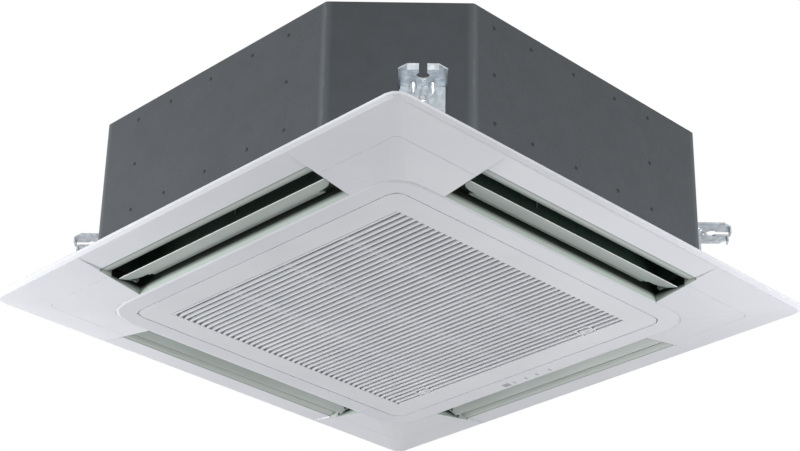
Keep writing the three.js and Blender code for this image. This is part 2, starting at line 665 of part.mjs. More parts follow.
// ---- Louvres --------------------------------------------------------------------------
/** Section of the louvre as [out, height] points measured from its pivot. */
function louvreSection() {
  const tilt = THREE.MathUtils.degToRad(LOUVRE_TILT);
  const [c, s] = [Math.cos(tilt), Math.sin(tilt)];
  const tip = [LOUVRE_TIP_OUT - LOUVRE_PIVOT_OUT, LOUVRE_TIP_HEIGHT - LOUVRE_PIVOT_HEIGHT];
  const at = (back, up) => [tip[0] - back * c + up * s, tip[1] + back * s + up * c];
  const end = LOUVRE_BLADE + LOUVRE_TAIL;
  return [
    at(0, 0.4), at(0.6, 0), at(LOUVRE_BLADE, 0), at(LOUVRE_BLADE, LOUVRE_STEP),
    at(end, LOUVRE_STEP), at(end, LOUVRE_STEP + LOUVRE_THICK),
    at(LOUVRE_BLADE - LOUVRE_TAIL, LOUVRE_STEP + LOUVRE_THICK), at(0.4, LOUVRE_THICK / 2),
  ];
}

/** Plan of the blade with its outer ends swept back, as a cutter in the louvre's frame. */
function louvrePlan() {
  const end = LOUVRE_END;
  const outer = LOUVRE_TIP_OUT - LOUVRE_PIVOT_OUT + CUT;
  const inner = -LOUVRE_TAIL - 2 * CUT;
  const r = LOUVRE_END_R;
  const lug = LOUVRE_LUG_R;
  const shape = new THREE.Shape();
  shape.moveTo(outer, -end);
  shape.lineTo(outer, end);
  shape.lineTo(outer - CUT, end);
  shape.quadraticCurveTo(lug, end - 2, lug, end - r);
  shape.lineTo(inner, end - r);
  shape.lineTo(inner, -end + r);
  shape.lineTo(lug, -end + r);
  shape.quadraticCurveTo(lug, -end + 2, outer - CUT, -end);
  return plate(shape, -60, 60, 5);
}

function makeLouvre() {
  const end = LOUVRE_END;
  const pinEnd = VENT_END + LOUVRE_PIN_REACH;
  let louvre = solid(alongSide(louvreSection(), -end, end)).intersect(louvrePlan());
  [-1, 1].forEach((side) => {
    const [a, b] = [side * end, side * (end - LOUVRE_LUG_THICK)];
    const arm = [
      [LOUVRE_LUG_R * 0.7, -LOUVRE_LUG_R * 0.7], [LOUVRE_TIP_OUT - LOUVRE_PIVOT_OUT - 2,
        LOUVRE_TIP_HEIGHT - LOUVRE_PIVOT_HEIGHT + 0.8],
      [LOUVRE_TIP_OUT - LOUVRE_PIVOT_OUT - 3, LOUVRE_TIP_HEIGHT - LOUVRE_PIVOT_HEIGHT + 2.6],
      [2, LOUVRE_LUG_R * 0.8],
    ];
    louvre = unite(louvre,
      solid(barAlong(LOUVRE_LUG_R, 0, 0, Math.min(a, b), Math.max(a, b))),
      solid(alongSide(arm, Math.min(a, b), Math.max(a, b))),
      solid(barAlong(LOUVRE_PIN_R, 0, 0, Math.min(b, side * pinEnd), Math.max(b, side * pinEnd), 12)),
    );
  });
  return louvre;
}

/** Geared step motor of one louvre, with the socket that takes the louvre's pin. */
function makeLouvreMotor() {
  const [along, out, up] = LOUVRE_MOTOR;
  const start = VENT_END + END_WALL + GAP;
  const top = PANEL_TOP - LOUVRE_PIVOT_HEIGHT;
  const body = [[-out / 2, top - up], [out / 2, top - up], [out / 2, top], [-out / 2, top]];
  const socket = barAlong(LOUVRE_PIN_R + BEARING_CLEARANCE, 0, 0, start - CUT,
    VENT_END + LOUVRE_PIN_REACH + GAP);
  return solid(alongSide(body, start, start + along)).subtract(solid(socket));
}

/** Plain bearing bush at the louvre's other end. */
function makeLouvreBush() {
  const start = VENT_END + END_WALL + GAP;
  const body = barAlong(LOUVRE_BUSH_R, 0, 0, -start - LOUVRE_BUSH_LENGTH, -start, 20);
  const socket = barAlong(LOUVRE_PIN_R + BEARING_CLEARANCE, 0, 0,
    -VENT_END - LOUVRE_PIN_REACH - GAP, -start + CUT);
  return solid(body).subtract(solid(socket));
}

function addLouvres() {
  SIDES.forEach((side, k) => {
    const group = new THREE.Group();
    group.rotation.z = k * Math.PI / 2;
    const pivot = new THREE.Group();
    pivot.position.set(LOUVRE_PIVOT_OUT, 0, LOUVRE_PIVOT_HEIGHT);
    group.add(pivot);
    unit.add(group);
    addPiece(`louvre_${side}`, makeLouvre(), LOUVRE_GREY, pivot);
    addPiece(`louvre_motor_${side}`, makeLouvreMotor(), BLACK_PLASTIC, pivot);
    addPiece(`louvre_bush_${side}`, makeLouvreBush(), BLACK_PLASTIC, pivot);
  });
}

// ---- Intake grille, latches and filter ------------------------------------------------
function makeGrille() {
  const half = GRILLE_SIDE / 2;
  const skin = roundedRect(GRILLE_SIDE, GRILLE_SIDE, GRILLE_CORNER_R);
  skin.holes.push(roundedRect(2 * FIELD_HALF, 2 * FIELD_HALF, 2));
  const wallHalf = half - GRILLE_UPSTAND_INSET;
  const wall = roundedRect(2 * wallHalf, 2 * wallHalf, GRILLE_CORNER_R - GRILLE_UPSTAND_INSET);
  const wallInner = 2 * (wallHalf - GRILLE_UPSTAND);
  wall.holes.push(roundedRect(wallInner, wallInner, GRILLE_CORNER_R - 2 * GRILLE_UPSTAND));
  const seat = roundedRect(2 * (FIELD_HALF + GRILLE_UPSTAND), 2 * (FIELD_HALF + GRILLE_UPSTAND), 3);
  seat.holes.push(roundedRect(2 * FIELD_HALF, 2 * FIELD_HALF, 2));
  let grille = unite(plate(skin, 0, GRILLE_SKIN), plate(wall, GRILLE_SKIN - 1, GRILLE_DEPTH - 2),
    plate(seat, GRILLE_SKIN - 1, GRILLE_DEPTH, 2));
  for (let i = 0; i < SLAT_COUNT; i++) grille = grille.add(slat(i));
  [-1, 0, 1].forEach((k) => {
    const x = k * GRILLE_RIB_SPACING;
    grille = grille.add(box(x - GRILLE_RIB_WIDTH / 2, x + GRILLE_RIB_WIDTH / 2,
      -FIELD_HALF - 1, FIELD_HALF + 1, SLAT_DEPTH, GRILLE_DEPTH));
  });
  return cutFrom(unite(grille, ...hingePins(), ...latchHousings()), ...latchPockets());
}

/** One upright slat of the grille's field. */
function slat(i) {
  const y = SLAT_FIRST_Y + i * SLAT_PITCH;
  return box(-FIELD_HALF - 1, FIELD_HALF + 1, y - SLAT_WIDTH / 2, y + SLAT_WIDTH / 2, 0, SLAT_DEPTH);
}

/** Pins on the hinge line, which turn in the opening's side walls. */
function hingePins() {
  return [-1, 1].map((side) => {
    const pin = new THREE.CylinderGeometry(GRILLE_PIN_R, GRILLE_PIN_R, GRILLE_PIN_LENGTH, 12);
    const x = side * (GRILLE_PIN_END - GRILLE_PIN_LENGTH / 2);
    return solid(pin.rotateZ(Math.PI / 2).translate(x, GRILLE_HINGE_Y, GRILLE_HINGE_Z));
  });
}

/** Walls beside each latch, which also hold the ends of the slats cut there. */
function latchHousings() {
  const inner = LATCH_KNOB[0] / 2 + LATCH_POCKET_SIDE;
  const outer = inner + LATCH_WALL;
  return [-1, 1].map((side) => box(side * LATCH_X - outer, side * LATCH_X + outer,
    LATCH_Y - LATCH_KNOB[1] / 2 - LATCH_TRAVEL - 1 - LATCH_WALL, FIELD_HALF + 1,
    0.5, LATCH_TONGUE_HEIGHT + LATCH_TONGUE[1] + LATCH_WALL));
}

/** Places where a latch knob slides in the grille's face and its tongue passes the walls. */
function latchPockets() {
  const [w, d] = LATCH_KNOB;
  const [tongueWidth, tongueThick] = LATCH_TONGUE;
  return [-1, 1].flatMap((side) => {
    const x = side * LATCH_X;
    const slit = w / 2 + LATCH_POCKET_SIDE;
    const y0 = LATCH_Y - d / 2 - LATCH_TRAVEL - 1;
    return [
      box(x - slit, x + slit, y0, LATCH_Y + d / 2 + LATCH_POCKET_SIDE + 1, -CUT, GRILLE_DEPTH + CUT),
      box(x - tongueWidth / 2 - 1, x + tongueWidth / 2 + 1, y0, GRILLE_SIDE / 2 + CUT,
        LATCH_TONGUE_HEIGHT - GAP, LATCH_TONGUE_HEIGHT + tongueThick + GAP),
    ];
  });
}

/** Sliding latch: a knob in the grille's face with a tongue that reaches the panel. */
function makeLatch() {
  const [w, d] = LATCH_KNOB;
  const [tongueWidth, tongueThick] = LATCH_TONGUE;
  const reach = openingHalf - GAP - LATCH_Y;
  const z = LATCH_TONGUE_HEIGHT;
  const knob = plate(roundedRect(w, d, 3), 0.6, z + tongueThick, 3);
  return knob.add(box(-tongueWidth / 2, tongueWidth / 2, 0, reach, z, z + tongueThick));
}

function addLatches() {
  [['left', -1], ['right', 1]].forEach(([name, side]) => {
    const place = new THREE.Group();
    place.position.set(side * LATCH_X, LATCH_Y, 0);
    unit.add(place);
    addPiece(`grille_latch_${name}`, makeLatch(), GRILLE_WHITE, place);
  });
}

/** Washable air filter: a frame with a net of square gaps, notched round the latches. */
function makeFilter() {
  const z0 = GRILLE_DEPTH + GAP;
  const span = FILTER_SIDE - 2 * FILTER_BORDER;
  const rim = roundedRect(FILTER_SIDE, FILTER_SIDE, 6);
  rim.holes.push(roundedRect(span, span, 2));
  const pitch = span / FILTER_CELLS;
  const [reach, half] = [span / 2 + 1, FILTER_STRAND / 2];
  const [low, high] = [z0 + 1, z0 + 1 + FILTER_NET_THICK];
  const strands = [];
  for (let i = 1; i < FILTER_CELLS; i++) {
    const at = -span / 2 + i * pitch;
    strands.push(box(at - half, at + half, -reach, reach, low, high));
    strands.push(box(-reach, reach, at - half, at + half, low, high));
  }
  return unite(plate(rim, z0, z0 + FILTER_THICK, 2), ...strands);
}

// ---- Display --------------------------------------------------------------------------
/** Smoked window of the remote control's receiver. */
function makeReceiverWindow() {
  const [w, d] = RECEIVER;
  const lens = box(RECEIVER_X - w / 2, RECEIVER_X + w / 2, DISPLAY_Y - d / 2, DISPLAY_Y + d / 2,
    0, PANEL_WALL + 1);
  const collar = box(RECEIVER_X - w / 2 - 1.5, RECEIVER_X + w / 2 + 1.5, DISPLAY_Y - d / 2 - 1.5,
    DISPLAY_Y + d / 2 + 1.5, PANEL_WALL + GAP, PANEL_WALL + GAP + 1.2);
  return unite(lens, collar);
}

/** Light guide: a bar behind the frame with one short window for each lamp. */
function makeLightGuide() {
  const [w, d] = LAMP_SIZE;
  const z = PANEL_WALL + GAP;
  const bar = box(LAMP_X[0] - 5, LAMP_X[LAMP_X.length - 1] + 5, DISPLAY_Y - d / 2 - 1,
    DISPLAY_Y + d / 2 + 1, z, z + 1.5);
  return unite(bar, ...LAMP_X.map((x) =>
    box(x - w / 2, x + w / 2, DISPLAY_Y - d / 2, DISPLAY_Y + d / 2, 0, z + 1)));
}

// ---- Cabinet --------------------------------------------------------------------------
/** Eight-sided sheet wrap with flanges and the holes for pipes and drain. */
function makeCabinetShell() {
  const wall = cabinetOutline(0);
  wall.holes.push(cabinetOutline(CABINET_SHEET));
  const flange = cabinetOutline(CABINET_SHEET / 2);
  flange.holes.push(cabinetOutline(CABINET_FLANGE));
  const shell = unite(plate(wall, CABINET_BOTTOM, CABINET_TOP),
    plate(flange, CABINET_BOTTOM, CABINET_BOTTOM + CABINET_SHEET),
    plate(flange, FLANGE_TOP - CABINET_SHEET, FLANGE_TOP));
  return cutFrom(shell, ...serviceHoles(2));
}

/** Cutters for the pipe and drain passages through the wall. */
function serviceHoles(clearance) {
  const hole = (r, along, height) => {
    const bar = new THREE.CylinderGeometry(r, r, 60, 12);
    return atCorner(bar.translate(along, FACE_OUT, height), PIPE_CORNER);
  };
  const drain = new THREE.CylinderGeometry(DRAIN_R + clearance, DRAIN_R + clearance, 60, 16);
  return [
    hole(GAS_PIPE_R + clearance, GAS_PIPE_ALONG, GAS_PIPE_HEIGHT),
    hole(LIQUID_PIPE_R + clearance, LIQUID_PIPE_ALONG, LIQUID_PIPE_HEIGHT),
    solid(drain.rotateZ(Math.PI / 2).translate(-CABINET_SIDE / 2, DRAIN_Y, DRAIN_HEIGHT)),
  ];
}

/** Top plate, let in below the shell's upper edge, with pressed ribs in a star. */
function makeTopPlate() {
  const z = TOP_PLATE_Z;
  let lid = plate(cabinetOutline(CABINET_SHEET + GAP), z, z + CABINET_SHEET);
  const [length, width, rise] = TOP_RIB;
  for (let k = 0; k < 8; k++) {
    const settings = { depth: rise, bevelEnabled: false, curveSegments: 1 };
    const rib = new THREE.ExtrudeGeometry(roundedRect(length, width, width / 2 - 1), settings);
    rib.translate(TOP_RIB_START + length / 2, 0, z + CABINET_SHEET / 2);
    lid = lid.add(solid(rib.rotateZ(k * Math.PI / 4)));
  }
  return lid;
}

/** Foam liner inside the wrap, above the drain pan's lower edge. */
function makeLiner() {
  const outline = cabinetOutline(CABINET_SHEET + GAP);
  outline.holes.push(cabinetOutline(CABINET_SHEET + GAP + LINER_THICK));
  const z0 = CABINET_BOTTOM + CABINET_SHEET + GAP;
  const liner = plate(outline, z0, FLANGE_TOP - CABINET_SHEET - GAP);
  return cutFrom(liner, ...serviceHoles(1.5));
}

// ---- Brackets -------------------------------------------------------------------------
/** Plan of the bearing plate: cut outer corners and a keyhole open to its outer edge. */
function hangerPlan() {
  const [half, end] = [HANGER_WIDTH / 2, HANGER_END];
  const [hole, neck] = [HANGER_HOLE_OUT, HANGER_NECK / 2];
  const meet = Math.asin(neck / HANGER_HOLE_R);
  const shape = new THREE.Shape();
  shape.moveTo(-half, FACE_OUT + GAP);
  shape.lineTo(half, FACE_OUT + GAP);
  shape.lineTo(half, end - HANGER_CORNER);
  shape.lineTo(half - HANGER_CORNER, end);
  shape.lineTo(neck, end);
  shape.lineTo(neck, hole + HANGER_HOLE_R * Math.cos(meet));
  shape.absarc(0, hole, HANGER_HOLE_R, Math.PI / 2 - meet, Math.PI / 2 + meet, true);
  shape.lineTo(-neck, end);
  shape.lineTo(-half + HANGER_CORNER, end);
  shape.lineTo(-half, end - HANGER_CORNER);
  return shape;
}

/** Small pressed gusset under the bend, at a place along the bracket. */
function gusset(x, y, z) {
  const [, leg, width] = HANGER_GUSSET;
  const shape = new THREE.Shape([[-1, 1], [leg, 1], [leg, 0], [0, -leg], [-1, -leg]]
    .map(([dy, dz]) => new THREE.Vector2(y + dy, z + dz)));
  const geometry = new THREE.ExtrudeGeometry(shape, { depth: width, bevelEnabled: false });
  return geometry.rotateX(Math.PI / 2).rotateZ(Math.PI / 2).translate(x - width / 2, 0, 0);
}

/** Hanger bracket in its corner's frame, centred on the hanging bolt. */
function makeHanger(corner) {
  const top = HANGER_HEIGHT;
  const t = HANGER_SHEET;
  const settings = { depth: t, bevelEnabled: false, curveSegments: 4 };
  const block = (x0, x1, y0, y1, z0, z1) =>
    new THREE.BoxGeometry(x1 - x0, y1 - y0, z1 - z0)
      .translate((x0 + x1) / 2, (y0 + y1) / 2, (z0 + z1) / 2);
  const [near, end] = [FACE_OUT + GAP, HANGER_END];
  const legHalf = HANGER_LEG_WIDTH / 2;
  const [tabWidth, drop] = HANGER_TAB;
  const gap = HANGER_NECK / 2 + 0.5;
  const parts = [
    new THREE.ExtrudeGeometry(hangerPlan(), settings).translate(0, 0, top - t),
    block(-legHalf, legHalf, near, near + t, HANGER_LEG_BOTTOM, top),
    block(-gap - tabWidth, -gap, end - t, end, top - drop, top),
    block(gap, gap + tabWidth, end - t, end, top - drop, top),
    block(legHalf - t / 2, legHalf + t / 2, near, near + 9, HANGER_LEG_BOTTOM + 4, top - 12),
    ...[-1, 1].map((side) => gusset(side * HANGER_GUSSET[0], near + t, top - t)),
  ];
  return unite(...parts.map((part) => atCorner(part.translate(corner.offset, 0, 0), corner)));
}

/** Angle bracket at the foot of the cabinet that takes the panel's bolt. */
function makePanelBracket(corner) {
  const near = FACE_OUT + GAP;
  const half = FOOT_WIDTH / 2;
  const z0 = PANEL_TOP + GAP;
  const t = HANGER_SHEET - 0.5;
  const leg = new THREE.BoxGeometry(FOOT_WIDTH, t, FOOT_TOP_LEG - z0)
    .translate(0, near + t / 2, (FOOT_TOP_LEG + z0) / 2);
  const outline = roundedRect(FOOT_WIDTH, FOOT_REACH, 4, 0, near + FOOT_REACH / 2);
  const hole = new THREE.Path();
  hole.absarc(0, FACE_OUT + PANEL_BOLT_OUT, PANEL_BOLT_R + 0.4, 0, 2 * Math.PI, true);
  outline.holes.push(hole);
  const foot = new THREE.ExtrudeGeometry(outline, { depth: t, bevelEnabled: false, curveSegments: 4 })
    .translate(0, 0, z0);
  const heel = new THREE.BoxGeometry(2 * half, 6, t).translate(0, near + 3, z0 + t / 2);
  return unite(...[leg, foot, heel].map((part) =>
    atCorner(part.translate(corner.offset, 0, 0), corner)));
}

/** Hex bolt that holds the panel up at one corner. */
function makePanelBolt(corner) {
  const [x, y] = boltPlace(corner);
  const top = boltHeadTop();
  return unite(post(PANEL_BOLT_HEAD_R, top - PANEL_BOLT_HEAD, top, x, y, 6),
    post(PANEL_BOLT_R, top - 1, PANEL_TOP + 14, x, y, 12));
}

function addBrackets() {
  CORNERS.forEach((corner) => {
    addPiece(`hanger_bracket_${corner.name}`, makeHanger(corner), ZINC);
    addPiece(`panel_bracket_${corner.name}`, makePanelBracket(corner), ZINC);
    addPiece(`panel_bolt_${corner.name}`, makePanelBolt(corner), ZINC);
  });
}

// ---- Drain pan and bell mouth ---------------------------------------------------------
function makeDrainPan() {
  const outline = cabinetOutline(CABINET_SIDE / 2 - PAN_OUTER);
  outline.holes.push(roundedRect(PAN_HOLE_SIDE, PAN_HOLE_SIDE, PAN_HOLE_R));
  const lipHole = PAN_HOLE_SIDE - 2 * PAN_HOLE_LIP;
  const lip = roundedRect(PAN_HOLE_SIDE + 4, PAN_HOLE_SIDE + 4, PAN_HOLE_R);
  lip.holes.push(roundedRect(lipHole, lipHole, PAN_HOLE_R - PAN_HOLE_LIP));
  const pan = unite(plate(outline, PAN_BOTTOM, PAN_TOP),
    plate(lip, PAN_TOP - PAN_LIP_THICK, PAN_TOP));
  const duct = [[PAN_DUCT_INNER, 0], [PAN_DUCT_OUTER, 0], [PAN_DUCT_OUTER, PAN_TOP + CUT],
    [PAN_DUCT_INNER, PAN_TOP + CUT]];
  const z = PAN_TOP - TROUGH_DEPTH;
  const [inner, outer] = [COIL_SIDE / 2 - COIL_THICK - TROUGH_CLEARANCE,
    COIL_SIDE / 2 + TROUGH_CLEARANCE];
  const trough = loopRing([
    squareLoop(inner, COIL_CORNER_R - COIL_THICK, z),
    squareLoop(outer, COIL_CORNER_R, z),
    squareLoop(outer, COIL_CORNER_R, PAN_TOP + CUT),
    squareLoop(inner, COIL_CORNER_R - COIL_THICK, PAN_TOP + CUT),
  ]);
  const [px, py] = PUMP_CENTRE;
  const sump = post(SUMP_R, SUMP_FLOOR, PAN_TOP + CUT, px, py, 24);
  return cutFrom(pan, ...onEachSide(() => alongSide(duct, -VENT_END, VENT_END)), trough, sump);
}

/** Square plate with the flared throat that leads the air into the fan. */
function makeBellMouth() {
  const side = PAN_HOLE_SIDE - 2 * GAP;
  const outline = roundedRect(side, side, PAN_HOLE_R + 6);
  const hole = new THREE.Path();
  hole.absarc(0, 0, BELL_FLARE_R, 0, 2 * Math.PI, true);
  outline.holes.push(hole);
  const [z0, z1] = [BELL_PLATE_TOP - BELL_PLATE_THICK, BELL_PLATE_TOP];
  const flare = [];
  const steps = 4;
  for (let i = 0; i <= steps; i++) {
    const a = i / steps * Math.PI / 2;
    const r = BELL_FLARE_R + 1 - (BELL_FLARE_R + 1 - BELL_THROAT_R) * Math.sin(a);
    flare.push([r, z0 + BELL_RISE * (1 - Math.cos(a))]);
  }
  const back = flare.map(([r, z], i) => [r + BELL_PLATE_THICK * Math.min(1, i / 2),
    z + BELL_PLATE_THICK * Math.max(0, 1 - i / steps)]).reverse();
  return unite(plate(outline, z0, z1, 10), turned([...flare, ...back], FAN_FACETS));
}

// ---- Fan and motor --------------------------------------------------------------------
/** Turbo fan: inlet shroud, backward-leaning blades and a back plate with a hub cone. */
function makeFan() {
  const shroud = turned([
    [FAN_INLET_R, FAN_BOTTOM], [FAN_INLET_R + 6, FAN_BOTTOM + FAN_SHROUD_RISE * 0.55],
    [FAN_INLET_R + 22, FAN_BOTTOM + FAN_SHROUD_RISE * 0.88], [FAN_R, FAN_BOTTOM + FAN_SHROUD_RISE],
    [FAN_R, FAN_BOTTOM + FAN_SHROUD_RISE + FAN_SKIN],
    [FAN_INLET_R + 20, FAN_BOTTOM + FAN_SHROUD_RISE * 0.88 + FAN_SKIN],
    [FAN_INLET_R + 6 - FAN_SKIN, FAN_BOTTOM + FAN_SHROUD_RISE * 0.55 + FAN_SKIN],
    [FAN_INLET_R - FAN_SKIN, FAN_BOTTOM],
  ], FAN_FACETS);
  const bore = SHAFT_R + GAP;
  const hub = turned([
    [bore, HUB_BOTTOM - 8], [HUB_BOSS_R, HUB_BOTTOM - 8], [HUB_BOSS_R, HUB_BOTTOM - 2],
    [HUB_R * 0.55, HUB_BOTTOM], [HUB_R, FAN_TOP - 16], [HUB_R + 10, FAN_TOP - FAN_SKIN],
    [FAN_R, FAN_TOP - FAN_SKIN], [FAN_R, FAN_TOP], [HUB_R + 8, FAN_TOP],
    [HUB_R - FAN_SKIN, FAN_TOP - 14], [HUB_R * 0.55 - 1, HUB_BOTTOM + FAN_SKIN],
    [HUB_BOSS_R, HUB_BOTTOM + FAN_SKIN], [HUB_BOSS_R, HUB_BOTTOM + 18], [bore, HUB_BOTTOM + 18],
  ], FAN_FACETS);
  const room = turned([
    [BLADE_INNER_R - CUT, FAN_BOTTOM + FAN_SHROUD_RISE * 0.8],
    [FAN_INLET_R - 1, FAN_BOTTOM + FAN_SHROUD_RISE * 0.3],
    [FAN_INLET_R + 4.5, FAN_BOTTOM + FAN_SHROUD_RISE * 0.55 + 1.5],
    [FAN_INLET_R + 21, FAN_BOTTOM + FAN_SHROUD_RISE * 0.88 + 1.5],
    [FAN_R - 1, FAN_BOTTOM + FAN_SHROUD_RISE + 1.5], [FAN_R - 1, FAN_TOP - 1],
    [BLADE_INNER_R - CUT, FAN_TOP - 1],
  ], FAN_FACETS);
  const blades = [];
  for (let k = 0; k < BLADE_COUNT; k++) blades.push(blade(k * 2 * Math.PI / BLADE_COUNT));
  return unite(hub, shroud, ...blades.map((one) => one.intersect(room)));
}

/** One blade: a curved plan strip from inner to outer radius that trails the rotation. */
function blade(start) {
  const steps = 5;
  const lean = THREE.MathUtils.degToRad(BLADE_LEAN);
  const [inner, outer] = [[], []];
  for (let i = 0; i <= steps; i++) {
    const f = i / steps;
    const r = BLADE_INNER_R + (FAN_R - 2 - BLADE_INNER_R) * f;
    const a = start - lean * f * (0.6 + 0.4 * f);
    const thick = BLADE_THICK * (0.35 + Math.sin(Math.PI * Math.min(1, f * 0.8 + 0.15)) * 0.65);
    inner.push(new THREE.Vector2(r * Math.cos(a) + thick / 2 * Math.sin(a),
      r * Math.sin(a) - thick / 2 * Math.cos(a)));
    outer.unshift(new THREE.Vector2(r * Math.cos(a) - thick / 2 * Math.sin(a),
      r * Math.sin(a) + thick / 2 * Math.cos(a)));
  }
  const shape = new THREE.Shape([...inner, ...outer]);
  return plate(shape, FAN_BOTTOM, FAN_TOP);
}

/** Motor: round can with a spigot, lugs to its mount and the bore that holds the shaft. */
function makeMotor() {
  const bore = SHAFT_R + BEARING_CLEARANCE;
  const can = turned([
    [bore, MOTOR_BOTTOM - 10], [22, MOTOR_BOTTOM - 10], [22, MOTOR_BOTTOM],
    [MOTOR_R - 8, MOTOR_BOTTOM], [MOTOR_R, MOTOR_BOTTOM + 8], [MOTOR_R, MOTOR_TOP],
    [0, MOTOR_TOP], [0, MOTOR_BOTTOM + 24], [bore, MOTOR_BOTTOM + 24],
  ], 24);
  const lugs = [];
  for (let k = 0; k < MOTOR_LUGS; k++) {
    const lug = new THREE.BoxGeometry(24, 22, 6).translate(MOTOR_R + 6, 0, MOTOR_TOP - 3);
    lugs.push(solid(lug.rotateZ((k + 0.5) * 2 * Math.PI / MOTOR_LUGS)));
  }
  return unite(can, ...lugs);
}

/** Motor mount: a dished ring under the top plate with rubber-footed legs to the lugs. */
function makeMotorMount() {
  const ring = turned([[MOTOR_R - 14, TOP_PLATE_Z - GAP - 2], [MOUNT_R, TOP_PLATE_Z - GAP - 2],
    [MOUNT_R, TOP_PLATE_Z - GAP], [MOTOR_R - 14, TOP_PLATE_Z - GAP]], 24);
  const legs = [];
  for (let k = 0; k < MOTOR_LUGS; k++) {
    const a = (k + 0.5) * 2 * Math.PI / MOTOR_LUGS;
    const r = MOTOR_R + 10;
    legs.push(post(8, MOTOR_TOP + GAP, TOP_PLATE_Z - 1, r * Math.cos(a), r * Math.sin(a), 12));
  }
  return unite(ring, ...legs);
}

/** Fan shaft, from the nut below the hub up into the motor. */
const makeShaft = () => turned([[0, HUB_BOTTOM - 26], [SHAFT_R, HUB_BOTTOM - 26],
  [SHAFT_R, MOTOR_BOTTOM + 22], [0, MOTOR_BOTTOM + 22]], 20);

/** Hex nut with a washer face, below the hub. */
function makeFanNut() {
  const z = HUB_BOTTOM - 8 - GAP;
  const nut = unite(post(11, z - 9, z - 2, 0, 0, 6), post(14, z - 2.5, z, 0, 0, 20));
  return nut.subtract(post(SHAFT_R + GAP, z - 20, z + CUT, 0, 0, 20));
}

// ---- Heat exchanger and pipes ---------------------------------------------------------
/** Fin pack bent round three corners and open at the back left one. */
function makeCoil() {
  const outer = COIL_SIDE / 2;
  const inner = outer - COIL_THICK;
  const innerR = COIL_CORNER_R - COIL_THICK;
  const loops = [
    squareLoop(inner, innerR, COIL_TOP, 3), squareLoop(inner, innerR, COIL_BOTTOM, 3),
    squareLoop(outer, COIL_CORNER_R, COIL_BOTTOM, 3),
  ];
  const [width, depth] = COIL_GROOVE;
  for (let i = 1; i <= COIL_GROOVES; i++) {
    const z = COIL_BOTTOM + i * TUBE_PITCH;
    loops.push(squareLoop(outer, COIL_CORNER_R, z - width / 2, 3),
      squareLoop(outer - depth, COIL_CORNER_R - depth, z - width / 2, 3),
      squareLoop(outer - depth, COIL_CORNER_R - depth, z + width / 2, 3),
      squareLoop(outer, COIL_CORNER_R, z + width / 2, 3));
  }
  loops.push(squareLoop(outer, COIL_CORNER_R, COIL_TOP, 3));
  const cut = outer + CUT;
  return loopRing(loops).subtract(box(-cut, -COIL_END, COIL_END, cut, 0, COIL_TOP + CUT));
}

/** Tube sheet of one end of the fin pack with its return bends, turned by a function. */
function makeEndPlate(turn) {
  const [near, far] = [COIL_SIDE / 2 - COIL_THICK - 1, COIL_SIDE / 2 + 1];
  const start = COIL_END + GAP;
  const sheet = new THREE.BoxGeometry(END_PLATE_THICK, far - near, COIL_TOP - COIL_BOTTOM)
    .translate(start + END_PLATE_THICK / 2, (near + far) / 2, (COIL_TOP + COIL_BOTTOM) / 2);
  const bends = [];
  for (let i = 1; i < COIL_GROOVES; i += 2) {
    const height = COIL_BOTTOM + i * TUBE_PITCH;
    bends.push(returnBend().translate(start, (near + far) / 2, height));
  }
  return unite(...[sheet, ...bends].map((geometry) => solid(turn(geometry))));
}

/** Half-round return bend that joins two tubes one pitch apart. */
function returnBend() {
  const outer = (TUBE_PITCH + RETURN_TUBE) / 2;
  const inner = (TUBE_PITCH - RETURN_TUBE) / 2;
  const shape = new THREE.Shape();
  shape.moveTo(0, -outer);
  shape.absarc(0, 0, outer, -Math.PI / 2, Math.PI / 2);
  shape.lineTo(0, inner);
  shape.absarc(0, 0, inner, Math.PI / 2, -Math.PI / 2, true);
  const settings = { depth: RETURN_TUBE, bevelEnabled: false, curveSegments: 3 };
  return new THREE.ExtrudeGeometry(shape, settings).rotateX(Math.PI / 2)
    .translate(0, RETURN_TUBE / 2, TUBE_PITCH / 2);
}

/** Path of straight runs with rounded corners. */
function bentPath(points, bend) {
  const at = points.map((p) => new THREE.Vector3(...p));
  const path = new THREE.CurvePath();
  let from = at[0];
  for (let i = 1; i < at.length - 1; i++) {
    const before = at[i].clone().add(at[i - 1].clone().sub(at[i]).setLength(bend));
    const after = at[i].clone().add(at[i + 1].clone().sub(at[i]).setLength(bend));
    path.add(new THREE.LineCurve3(from, before));
    path.add(new THREE.QuadraticBezierCurve3(before, at[i], after));
    from = after;
  }
  path.add(new THREE.LineCurve3(from, at[at.length - 1]));
  return path;
}

/** Open tube carried along a path. */
function tube(path, r, wall, steps) {
  const ring = new THREE.Shape();
  ring.absarc(0, 0, r, 0, 2 * Math.PI);
  const hole = new THREE.Path();
  hole.absarc(0, 0, r - wall, 0, 2 * Math.PI, true);
  ring.holes.push(hole);
  return solid(new THREE.ExtrudeGeometry(ring, { steps, extrudePath: path, curveSegments: 6 }));
}

/** Point in the pipes' corner: along the chamfer, out from the centre, at a height. */
function pipePoint(along, out, z) {
  const a = PIPE_CORNER.turn * Math.PI / 4;
  return [out * Math.cos(a) + along * Math.sin(a), out * Math.sin(a) - along * Math.cos(a), z];
}

/** Suction pipe from the fin pack's back end out through the chamfer. */
function makeGasPipe() {
  const y = COIL_SIDE / 2 - COIL_THICK / 2;
  const z = GAS_PIPE_HEIGHT;
  const end = pipePoint(GAS_PIPE_ALONG, FACE_OUT + PIPE_STUB, z);
  const start = [-COIL_END - 2 * GAP - END_PLATE_THICK, y, z];
  const turn = [end[0] + end[1] - y, y, z];
  return tube(bentPath([start, turn, end], 20), GAS_PIPE_R, PIPE_WALL, 12);
}

